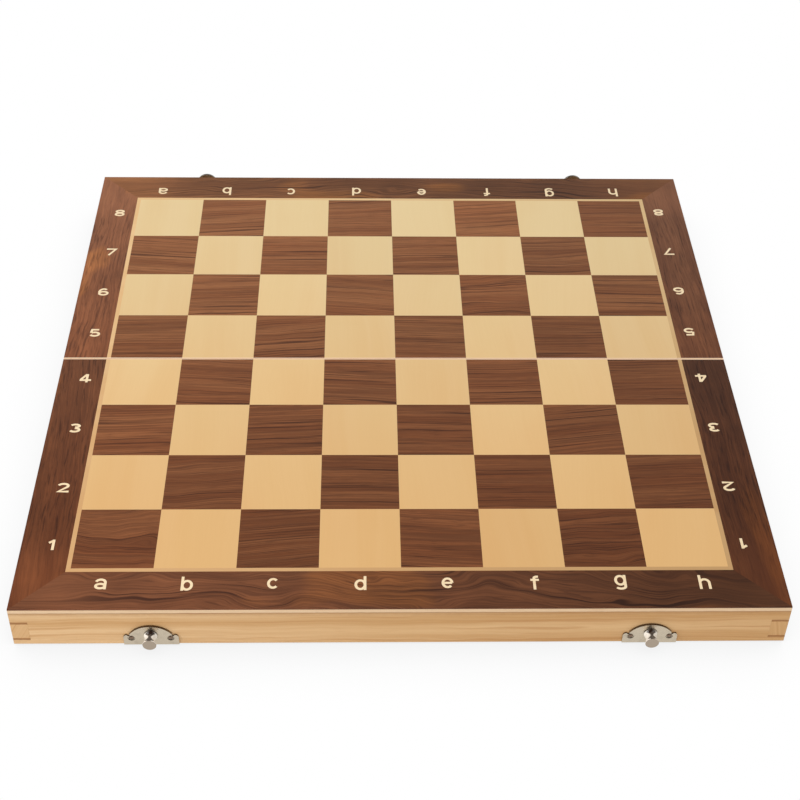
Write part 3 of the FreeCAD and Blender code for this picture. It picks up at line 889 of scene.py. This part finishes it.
WALNUT = dict(base=srgb(128, 76, 44), pale=srgb(148, 94, 58), line=srgb(56, 28, 18), blush=srgb(148, 86, 50))
MAPLE = dict(base=srgb(237, 197, 141), pale=srgb(239, 201, 147), line=srgb(214, 166, 108),
             blush=srgb(240, 205, 150), ring_mm=16.0, wave_mm=3.0, figure_mm=5.0, line_share=0.03,
             streak_share=0.04, pore_share=0.05, blush_share=0.5, tone_spread=0.06)
PINE = dict(early=srgb(231, 193, 145), late=srgb(205, 159, 105), end=srgb(196, 146, 94),
            glue=srgb(150, 98, 50), right_tint=(0.91, 0.87, 0.8, 1.0))
BORDER = dict(WALNUT, base=srgb(118, 70, 44), pale=srgb(132, 81, 52), blush=srgb(168, 102, 52), ring_mm=12.0,
              turn=0.05, blush_share=0.45, blush_from=0.78, tone_spread=0.0, corner_calm=0.5, mottle=0.7)
FLANK = dict(BORDER, run=Run.ALONG_FILES, figure_mm=5.0, wave_mm=3.0, fineness=1.35, line_share=0.35,
             streak_share=0.4, fleck_share=0.72, corner_lift=0.2,
             near_tint=(1.0, 0.84, 0.66, 1.0), far_tint=(1.0, 1.12, 1.2, 1.0))
END = dict(BORDER, run=Run.ALONG_RANKS, figure_mm=12.0, wave_mm=10.0, line_share=0.85)
STRIP = dict(MAPLE, base=srgb(224, 174, 116), pale=srgb(230, 184, 128), blush=srgb(226, 180, 122))
EDGING = dict(MAPLE, base=srgb(255, 220, 184), pale=srgb(255, 228, 196), blush=srgb(255, 220, 188))
FINISHES: tuple[Finish, ...] = (
    # Border tones are partly the veneers' own and partly painted light: the left borders lighter, the right
    # ones darker, as if lit from the left.
    Veneer("near_border_front", tone=1.2, corner_lift=-0.1, right_tint=(0.46, 0.45, 0.4, 1.0), **END),
    Veneer("near_border_left", tone=0.88, **FLANK),
    Veneer("near_border_right", tone=0.55, **FLANK),
    Veneer("far_border_back", tone=1.36, corner_lift=0.3, far_tint=(1.0, 1.1, 0.92, 1.0),
           right_tint=(0.6, 0.56, 0.52, 1.0), **END),
    Veneer("far_border_left", tone=1.7, **FLANK),
    Veneer("far_border_right", tone=1.08, **FLANK),
    Veneer("walnut_square_veneer", run=Run.ALONG_RANKS, by_squares=True, fineness=1.15,
           near_tint=(0.95, 0.88, 0.84, 1.0), far_tint=(1.55, 1.64, 1.62, 1.0),
           right_tint=(0.82, 0.81, 0.78, 1.0), **WALNUT),
    Veneer("maple_square_veneer", run=Run.ALONG_FILES, by_squares=True,
           near_tint=(0.94, 0.83, 0.7, 1.0), far_tint=(1.03, 1.15, 1.24, 1.0), **MAPLE),
    Veneer("maple_strip", run=Run.ALONG_RANKS, near_tint=(0.93, 0.9, 0.92, 1.0),
           far_tint=(1.14, 1.27, 1.45, 1.0), right_tint=(0.84, 0.86, 0.84, 1.0), **STRIP),
    Veneer("pale_edging", run=Run.ALONG_RANKS, **EDGING),
    SolidWood("pine_rail_across", run=Run.ALONG_RANKS, **PINE),
    SolidWood("pine_rail_along", run=Run.ALONG_FILES, **PINE),
    PanelEdge("pale_panel", pale=srgb(230, 198, 160), layer=srgb(212, 172, 130), glue=srgb(140, 96, 60)),
    Plating("nickel_plate", bright=srgb(202, 188, 166), tarnish=srgb(72, 58, 48), roughness=0.27,
            settled=0.85),
    # The stud's near-white colour on its non-metal flanks is a painted highlight.
    StudPlating("stud_nickel", bright=srgb(255, 248, 236), tarnish=srgb(46, 30, 20), roughness=0.2,
                settled=0.92),
    Plating("nail_steel", bright=srgb(132, 110, 92), tarnish=srgb(40, 27, 21), roughness=0.2, settled=0.95),
    Plating("hook_steel", bright=srgb(172, 164, 154), tarnish=srgb(62, 54, 48), roughness=0.3, settled=0.6),
    Plating("hinge_brass", bright=srgb(214, 178, 106), tarnish=srgb(96, 72, 38), roughness=0.28),
    PressedFelt("green_felt", wool=srgb(28, 84, 58), shade=srgb(16, 58, 40), fuzz=srgb(62, 122, 92)),
    CreamInlay("cream_inlay", cream=srgb(255, 230, 188), rubbed=srgb(243, 208, 160)),
)
FITTINGS = {"hinge_brass": ("leaf", "pin", "screws"), "nail_steel": ("nails",), "stud_nickel": ("stud",),
            "hook_steel": ("hook",), "nickel_plate": ("plate", "pivot")}
EASED_FITTINGS = ("stud_nickel", "hook_steel", "nickel_plate")


@dataclass
class Finishes:
    """Every material of the board, made once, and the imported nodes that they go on."""

    nodes: Mapping[str, Piece]
    effects: Effects
    made: dict[str, bpy.types.Material] = field(default_factory=dict)

    def __post_init__(self) -> None:
        """Makes the materials."""
        for finish in FINISHES:
            self.made[finish.name] = finish.material(self.effects)

    def put_on(self, names: Iterable[str], finish: str) -> None:
        """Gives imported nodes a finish.

        Args:
            names: The nodes to dress.
            finish: Name of the material.
        """
        for name in names:
            slots = self.nodes[name].data.materials
            slots.clear()
            slots.append(self.made[finish])
            LOG.info("%s has the finish %s", name, finish)


def linked(name: str, data: bpy.types.ID) -> Piece:
    """New object in the scene.

    Args:
        name: Its name.
        data: Its mesh, lamp or camera.

    Returns:
        The object.
    """
    made = bpy.data.objects.new(name, data)
    bpy.context.scene.collection.objects.link(made)
    return made


def shaped(name: str, mesh: bmesh.types.BMesh) -> Piece:
    """New object in the scene with the shape of a bmesh, which is freed.

    Args:
        name: Its name.
        mesh: Its shape.

    Returns:
        The object.
    """
    data = bpy.data.meshes.new(name)
    mesh.to_mesh(data)
    mesh.free()
    return linked(name, data)


def card(name: str, middle: Triple, wide: Triple, high: Triple) -> Piece:
    """New flat card in the scene.

    Args:
        name: Its name.
        middle: Its middle.
        wide: From its middle to the middle of one side.
        high: From its middle to the middle of the next side.

    Returns:
        The object.
    """
    middle, wide, high = Vector(middle), Vector(wide), Vector(high)
    corners = [middle - wide - high, middle + wide - high, middle + wide + high, middle - wide + high]
    data = bpy.data.meshes.new(name)
    data.from_pydata(corners, [], [(0, 1, 2, 3)])
    return linked(name, data)


def eased(piece: Piece, width_mm: float, angle: float = 40.0, weld_mm: float = 0.002,
          segments: int = 3) -> None:
    """Rounds the sharp edges of a piece a little.

    Args:
        piece: The object.
        width_mm: Width of the rounding.
        angle: Least angle in degrees between two faces for their edge to count as sharp.
        weld_mm: Points closer than this are joined first.
        segments: Number of faces across the rounding.
    """
    weld = piece.modifiers.new("closed_surface", "WELD")
    weld.merge_threshold = weld_mm * MM
    bevel = piece.modifiers.new("eased_edges", "BEVEL")
    bevel.width = width_mm * MM
    bevel.segments = segments
    bevel.limit_method = "ANGLE"
    bevel.angle_limit = math.radians(angle)
    bevel.harden_normals = True


@dataclass
class PlayingField:
    """Veneered top of both halves: squares, pale stringing, edge bands and mitred borders."""

    finishes: Finishes

    def dress(self) -> None:
        """Puts the veneers on."""
        for half in Half:
            looks = {"dark_squares": "walnut_square_veneer", "light_squares": "maple_square_veneer",
                     "stringing": "maple_strip", "edge_band": "pale_edging"}
            for side in (half.end, "left", "right"):
                looks[f"border_{side}"] = f"{half.value}_border_{side}"
            for piece, finish in looks.items():
                self.finishes.put_on([f"{half.value}_{piece}"], finish)


@dataclass
class Trays:
    """Solid rails and the thin panel of both halves."""

    finishes: Finishes

    def dress(self) -> None:
        """Puts the wood on."""
        for half in Half:
            across = [f"{half.value}_{side}_rail" for side in (half.end, "spine")]
            along = [f"{half.value}_{side}_rail" for side in ("left", "right")]
            self.finishes.put_on(across, "pine_rail_across")
            self.finishes.put_on(along, "pine_rail_along")
            self.finishes.put_on([f"{half.value}_panel"], "pale_panel")


@dataclass
class Fittings:
    """Nickel catches and hooks, and brass hinges."""

    finishes: Finishes
    edge_mm: float = 0.12

    def dress(self) -> None:
        """Puts the metal on and breaks the sharp edges."""
        nodes = self.finishes.nodes
        for finish, endings in FITTINGS.items():
            names = [name for name in nodes if name.endswith(endings)]
            self.finishes.put_on(names, finish)
            for name in names if finish in EASED_FITTINGS else ():
                eased(nodes[name], self.edge_mm)


@dataclass
class FeltLinings:
    """Felt sheets glued to the floors of the trays, a little uneven and frayed at the edge."""

    finishes: Finishes
    cell: float = 4.0 * MM
    edge_gap: float = 0.4 * MM
    lump: float = 0.16 * MM
    lump_scales: Point = (60.0, 210.0)
    lump_share: float = 0.6
    fray: float = 0.25 * MM
    fray_scale: float = 400.0

    def build(self) -> None:
        """Makes a sheet in each tray in place of its plain solid."""
        for half in Half:
            node = f"{half.value}_felt_lining"
            low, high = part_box(node)
            inset = Vector((self.edge_gap, self.edge_gap, 0))
            sheet = self._sheet(f"{half.value}_felt_sheet", low + inset, high - inset)
            sheet.data.materials.append(self.finishes.made["green_felt"])
            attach(sheet, half.body)
            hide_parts(node)

    def _sheet(self, name: str, low: Vector, high: Vector) -> Piece:
        """Closed felt sheet whose lower face is lumpy.

        Args:
            name: Name of the piece.
            low: Lowest corner.
            high: Highest corner.

        Returns:
            The sheet.
        """
        wide, deep = (max(2, round((high[axis] - low[axis]) / self.cell)) for axis in (0, 1))
        mesh = bmesh.new()
        layers = [[[mesh.verts.new(self._point(low, high, (i / wide, j / deep), upper))
                    for j in range(deep + 1)] for i in range(wide + 1)] for upper in (False, True)]
        for upper, layer in enumerate(layers):
            for i in range(wide):
                for j in range(deep):
                    ring = [layer[i][j], layer[i + 1][j], layer[i + 1][j + 1], layer[i][j + 1]]
                    mesh.faces.new(ring if upper else ring[::-1])
        lower, upper = (self._rim(layer) for layer in layers)
        for k, point in enumerate(lower):
            following = (k + 1) % len(lower)
            mesh.faces.new([point, lower[following], upper[following], upper[k]])
        sheet = shaped(name, mesh)
        sheet.data.shade_smooth()
        return sheet

    def _point(self, low: Vector, high: Vector, shares: Point, upper: bool) -> Vector:
        """One point of the sheet; the upper face lies flat on the panel.

        Args:
            low: Lowest corner.
            high: Highest corner.
            shares: How far along X and Y the point is, from 0 to 1.
            upper: Whether it is on the upper face.

        Returns:
            The point.
        """
        point = Vector((low.x + (high.x - low.x) * shares[0], low.y + (high.y - low.y) * shares[1], high.z))
        ragged = abs(noise.noise(point * self.fray_scale)) * self.fray
        for axis, share in enumerate(shares):
            if share in (0, 1):
                point[axis] += ragged if share == 0 else -ragged
        if not upper:
            broad, fine = (noise.noise(point * scale) for scale in self.lump_scales)
            point.z = low.z + self.lump * (1 + self.lump_share * (broad + self.lump_share * fine))
        return point

    @staticmethod
    def _rim(layer: Sequence[Sequence[bmesh.types.BMVert]]) -> list[bmesh.types.BMVert]:
        """Points round the edge of a layer, in order.

        Args:
            layer: Its columns of points.

        Returns:
            The points.
        """
        bottom = [column[0] for column in layer]
        top = [column[-1] for column in layer[-2::-1]]
        return bottom + list(layer[-1][1:]) + top + list(layer[0][-2:0:-1])


@dataclass(frozen=True)
class Arc:
    """Part of an ellipse in a glyph's centreline, with angles in degrees."""

    centre: Point
    radii: Point
    start: float
    end: float
    steps: int = 14

    def points(self) -> list[Vector]:
        """Points along the arc.

        Returns:
            The points.
        """
        step = (self.end - self.start) / self.steps
        angles = [math.radians(self.start + step * k) for k in range(self.steps + 1)]
        return [Vector((self.centre[0] + self.radii[0] * math.cos(angle),
                        self.centre[1] + self.radii[1] * math.sin(angle))) for angle in angles]


Stroke = tuple[Union[Point, Arc], ...]


@dataclass(frozen=True)
class Alphabet:
    """Bold plain letters and numbers drawn as pen strokes on a height of 1."""

    pen: float = 0.193
    width: float = 0.84
    ascender: float = 1.3
    least_step: float = 1e-4
    mitre_limit: float = 1.7
    inside_only: int = 1
    tolerance: float = 1e-6

    @property
    def edge(self) -> float:
        """Distance of a stroke's centreline from the outline that it makes."""
        return self.pen / 2

    def bow(self, centre_y: float, half_height: float, start: float, end: float, trim: float = 0.0) -> Arc:
        """Open arc between the sides of a glyph."""
        radii = (self.width / 2 - self.edge - trim, half_height - self.edge)
        return Arc((self.width / 2, centre_y), radii, start, end)

    def oval(self, centre_y: float, half_height: float, trim: float = 0.0) -> list[Stroke]:
        """Closed ellipse between the sides of a glyph, as two arcs."""
        return [(self.bow(centre_y, half_height, start, start + 180, trim),) for start in (0, 180)]

    def strokes(self, sign: str) -> list[Stroke]:
        """Centrelines of one letter or number.

        Args:
            sign: One of a to h or 1 to 8.

        Returns:
            The strokes.
        """
        edge, right, top = self.edge, self.width - self.edge, 1 - self.edge
        bowl = self.oval(0.5, 0.5)
        crook = Arc((0.52, 1.06), (0.22, self.ascender - edge - 1.06), 180, 70)
        glyphs: dict[str, list[Stroke]] = {
            "a": [((right, 0.0), (right, 0.64), self.bow(0.64, 0.36, 0, 165)), *self.oval(0.3, 0.3)],
            "b": [((edge, 0.0), (edge, self.ascender)), *bowl],
            "c": [(self.bow(0.5, 0.5, 42, 318),)],
            "d": [((right, 0.0), (right, self.ascender)), *bowl],
            "e": [((edge, 0.5), (right, 0.5)), (self.bow(0.5, 0.5, 0, 318),)],
            "f": [((0.3, 0.0), (0.3, 1.06), crook), ((0.04, top), (0.64, top))],
            "g": [((right, 1.0), (right, -0.08), self.bow(-0.08, 0.3, 0, -155)), *bowl],
            "h": [((edge, 0.0), (edge, self.ascender)), (self.bow(0.58, 0.42, 180, 0), (right, 0.0))],
            "1": [((0.5, 0.0), (0.5, 1.0)), ((0.5, 0.9), (0.18, 0.7))],
            "2": [(self.bow(0.69, 0.31, 165, -38), (edge + 0.04, edge), (self.width, edge))],
            "3": [(self.bow(0.74, 0.26, 155, -90, 0.03),), (self.bow(0.29, 0.29, 90, -155),)],
            "4": [((0.56, 0.0), (0.56, 1.0)), ((0.5, 0.95), (0.08, 0.32)), ((0.0, 0.27), (self.width, 0.27))],
            "5": [((0.76, top), (0.2, top), (0.14, 0.5)), (self.bow(0.33, 0.33, 138, -155),)],
            "6": [*self.oval(0.32, 0.32), (self.bow(0.5, 0.5, 48, 200),)],
            "7": [((0.04, top), (self.width - 0.06, top), (0.28, 0.0))],
            "8": [*self.oval(0.74, 0.26, 0.03), *self.oval(0.29, 0.29)],
        }
        return glyphs[sign]

    def outline(self, stroke: Stroke) -> list[Vector]:
        """Outline of one pen stroke, with mitred corners and square ends.

        Args:
            stroke: Points and arcs of its centreline.

        Returns:
            Points round the stroke.
        """
        path: list[Vector] = []
        for item in stroke:
            for point in item.points() if isinstance(item, Arc) else [Vector(item)]:
                if not path or (point - path[-1]).length > self.least_step:
                    path.append(point)
        tangents = [(after - before).normalized() for before, after in zip(path, path[1:])]
        sides: tuple[list[Vector], list[Vector]] = ([], [])
        for index, point in enumerate(path):
            before, after = tangents[max(0, index - 1)], tangents[min(index, len(tangents) - 1)]
            mean = (before + after).normalized()
            reach = 1 / max(1 / self.mitre_limit, mean.dot(after))
            across = Vector((-mean.y, mean.x)) * self.edge * reach
            sides[0].append(point + across)
            sides[1].append(point - across)
        return sides[1] + sides[0][::-1]

    def faces(self, sign: str) -> tuple[list[Vector], list[tuple[int, ...]]]:
        """Triangles that fill the joined strokes of a letter or number.

        Args:
            sign: One of a to h or 1 to 8.

        Returns:
            Points about the middle of the glyph, and triangles.
        """
        points: list[Vector] = []
        rings: list[list[int]] = []
        for stroke in self.strokes(sign):
            outline = self.outline(stroke)
            rings.append(list(range(len(points), len(points) + len(outline))))
            points.extend(outline)
        filled = delaunay_2d_cdt(points, [], rings, self.inside_only, self.tolerance, True)
        spots, _, triangles, _, _, origins = filled
        low, high = (Vector([pick(spot[axis] for spot in spots) for axis in (0, 1)]) for pick in (min, max))
        middle = (low + high) / 2
        return [spot - middle for spot in spots], [face for face, origin in zip(triangles, origins) if origin]


@dataclass
class Coordinates:
    """Cream file letters and rank numbers on the border, facing the nearer player."""

    finishes: Finishes
    letter_height: float = 7.0 * MM
    number_height: float = 7.1 * MM
    letters_at: float = 172.9 * MM
    left_numbers_at: float = -175.1 * MM
    right_numbers_at: float = 174.1 * MM
    files_mm: tuple[float, ...] = (-147.2, -105.0, -63.4, -20.2, 22.6, 65.7, 108.0, 149.7)
    left_ranks_mm: tuple[float, ...] = (-146.6, -105.7, -59.4, -17.5, 23.5, 63.0, 104.2, 147.2)
    right_ranks_mm: tuple[float, ...] = (-146.8, -105.4, -59.0, -17.0, 25.1, 65.0, 106.3, 149.7)
    film: float = 0.03 * MM
    depth: float = 0.25 * MM
    flat_angle: float = 0.001

    def build(self) -> None:
        """Makes the rows of letters and numbers of both halves."""
        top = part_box("near_border_front")[1].z + self.film
        letters, numbers = Alphabet(), Alphabet(pen=0.195, width=0.9)
        for half in Half:
            files_mm = self.files_mm if half is Half.NEAR else [-x for x in reversed(self.files_mm)]
            rows = [(f"{half.end}_letters", letters, self.letter_height * -half.sign,
                     [(sign, Vector((x * MM, half.sign * self.letters_at, top)))
                      for sign, x in zip(FILES, files_mm)])]
            for hand, x, ranks_mm in (("left", self.left_numbers_at, self.left_ranks_mm),
                                      ("right", self.right_numbers_at, self.right_ranks_mm)):
                rows.append((f"{hand}_numbers", numbers, math.copysign(self.number_height, -x),
                             [(sign, Vector((x, y * MM, top)))
                              for sign, y in zip(RANKS, ranks_mm) if y * half.sign > 0]))
            for name, alphabet, height, places in rows:
                row = self._row(f"{half.value}_{name}", alphabet, height, places)
                row.data.materials.append(self.finishes.made["cream_inlay"])
                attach(row, half.body)
                LOG.info("%s has %d signs", row.name, len(places))

    def _row(self, name: str, alphabet: Alphabet, height: float,
             places: Sequence[tuple[str, Vector]]) -> Piece:
        """One row of signs, sunk a little into the border.

        Args:
            name: Name of the piece.
            alphabet: How the signs are drawn.
            height: Height of a lower-case letter or of a number, below 0 if it faces the far player.
            places: Each sign and the middle of its place.

        Returns:
            The row.
        """
        mesh = bmesh.new()
        for sign, place in places:
            points, triangles = alphabet.faces(sign)
            spots = [mesh.verts.new(place + Vector((point.x, point.y, 0)) * height) for point in points]
            for triangle in triangles:
                mesh.faces.new([spots[index] for index in triangle])
        bmesh.ops.dissolve_limit(mesh, angle_limit=self.flat_angle, verts=mesh.verts, edges=mesh.edges)
        bmesh.ops.recalc_face_normals(mesh, faces=mesh.faces)
        for face in mesh.faces:
            if face.normal.z < 0:
                face.normal_flip()
        walls = bmesh.ops.extrude_face_region(mesh, geom=list(mesh.faces), use_keep_orig=True)
        sunk = [item for item in walls["geom"] if isinstance(item, bmesh.types.BMVert)]
        bmesh.ops.translate(mesh, verts=sunk, vec=(0, 0, -self.depth))
        bmesh.ops.recalc_face_normals(mesh, faces=mesh.faces)
        return shaped(name, mesh)


@dataclass(frozen=True)
class Flag:
    """Dark card that only reflections see, so that polished metal gets dark bands."""

    name: str
    middle: Triple
    wide: Triple
    high: Triple
    cloth: Colour = (0.03, 0.027, 0.025, 1.0)

    def hang(self) -> None:
        """Makes the card."""
        flag = card(self.name, self.middle, self.wide, self.high)
        cloth = bpy.data.materials.new(f"{self.name}_cloth")
        cloth.use_nodes = True
        cloth.node_tree.nodes["Principled BSDF"].inputs["Base Color"].default_value = self.cloth
        flag.data.materials.append(cloth)
        flag.visible_camera = False
        flag.visible_diffuse = False
        flag.visible_shadow = False


@dataclass(frozen=True)
class Lamp:
    """Soft square lamp that points at a target."""

    name: str
    place: Triple
    target: Triple
    size: float
    watts: float

    def hang(self) -> None:
        """Makes the lamp."""
        light = bpy.data.lights.new(self.name, "AREA")
        light.size = self.size
        light.energy = self.watts
        lamp = linked(self.name, light)
        lamp.location = self.place
        lamp.rotation_euler = (Vector(self.target) - Vector(self.place)).to_track_quat("-Z", "Y").to_euler()


@dataclass
class Studio:
    """White background, a floor that keeps a soft shadow, soft lamps and the camera."""

    floor_reach: float = 4.5
    floor_colour: Colour = (0.82, 0.82, 0.82, 1.0)
    shadow_reach: float = 0.04
    shadow_from: float = 0.2
    shadow_depth: float = 0.85
    shadow_samples: int = 12
    world_strength: float = 0.65
    lens_mm: float = 69.29
    sensor_mm: float = 36.0
    clip: Point = (0.01, 50.0)
    eye: Triple = (-0.02045, -0.6834, 0.59138)
    turn_deg: Triple = (48.889, -0.977, -1.129)
    hung: tuple[Union[Flag, Lamp], ...] = (
        Flag("back_flag", (0.0, 1.7, 2.9), (3.0, 0.0, 0.0), (0.0, 0.0, 1.5)),
        Flag("roof_flag", (0.0, -0.2, 1.9), (1.2, 0.0, 0.0), (0.0, 1.7, 0.0)),
        Flag("front_flag", (0.0, -1.9, 1.2), (1.0, 0.0, 0.0), (0.0, 0.0, 0.65)),
        Lamp("key_lamp", (-1.1, -0.55, 0.9), (0.0, 0.0, 0.0), 0.9, 10.0),
        Lamp("fill_lamp", (0.5, -1.5, 0.6), (0.0, -0.05, 0.0), 1.0, 3.5),
    )

    def build(self) -> None:
        """Makes the whole studio."""
        bpy.context.scene.view_settings.view_transform = "Standard"
        self._world()
        self._floor()
        for item in self.hung:
            item.hang()
            LOG.info("%s hangs", item.name)
        self._camera()

    @staticmethod
    def _mixed(graph: Graph, unseen: Wire, seen: Wire, output: str) -> None:
        """Puts out one shader where rays show a surface directly or in a reflection, and one otherwise.

        Args:
            graph: The tree's graph.
            unseen: Shader that lights the rest.
            seen: Shader that is shown.
            output: Blender's name of the output node's type.
        """
        rays = graph.add("ShaderNodeLightPath")
        shown = rays["Is Camera Ray"] | rays["Is Glossy Ray"] | rays["Is Transmission Ray"]
        mixed = graph.add("ShaderNodeMixShader", {0: shown, 1: unseen, 2: seen})
        graph.add(output, {"Surface": mixed[0]})

    def _world(self) -> None:
        """White to the eye and in reflections, and a plain level of light otherwise."""
        world = bpy.data.worlds.new("white_studio")
        bpy.context.scene.world = world
        world.use_nodes = True
        world.node_tree.nodes.clear()
        graph = Graph(world.node_tree)
        light, white = (graph.add("ShaderNodeBackground", {"Color": WHITE, "Strength": strength})[0]
                        for strength in (self.world_strength, 1.0))
        self._mixed(graph, light, white, "ShaderNodeOutputWorld")

    def _floor(self) -> None:
        """Pale floor that shows only the soft shadow where something stands close to it."""
        floor = card("floor", (0.0, 0.0, 0.0), (self.floor_reach, 0.0, 0.0), (0.0, self.floor_reach, 0.0))
        paper = bpy.data.materials.new("white_paper")
        paper.use_nodes = True
        paper.node_tree.nodes.clear()
        graph = Graph(paper.node_tree)
        occlusion = graph.add("ShaderNodeAmbientOcclusion", {"Distance": self.shadow_reach},
                              samples=self.shadow_samples)
        shade = occlusion["AO"].ramp(self.shadow_from, 1.0, self.shadow_depth, 1.0)
        shown = graph.add("ShaderNodeBsdfTransparent", {"Color": shade})[0]
        lit = graph.add("ShaderNodeBsdfDiffuse", {"Color": self.floor_colour})[0]
        self._mixed(graph, lit, shown, "ShaderNodeOutputMaterial")
        floor.data.materials.append(paper)

    def _camera(self) -> None:
        """Camera at the photograph's place and angle."""
        camera = linked("camera", bpy.data.cameras.new("camera"))
        camera.data.lens = self.lens_mm
        camera.data.sensor_width = self.sensor_mm
        camera.data.clip_start, camera.data.clip_end = self.clip
        camera.location = self.eye
        camera.rotation_euler = Euler([math.radians(angle) for angle in self.turn_deg], "XYZ")
        bpy.context.scene.camera = camera


def main() -> None:
    """Builds and dresses the board piece by piece."""
    logging.basicConfig(level=logging.INFO, format="%(name)s: %(message)s")
    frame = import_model()
    finishes = Finishes(frame["nodes"], Effects(Joinery.of_frame()))
    PlayingField(finishes).dress()
    Trays(finishes).dress()
    Fittings(finishes).dress()
    FeltLinings(finishes).build()
    Coordinates(finishes).build()
    Studio().build()


if __name__ == "__main__":
    main()
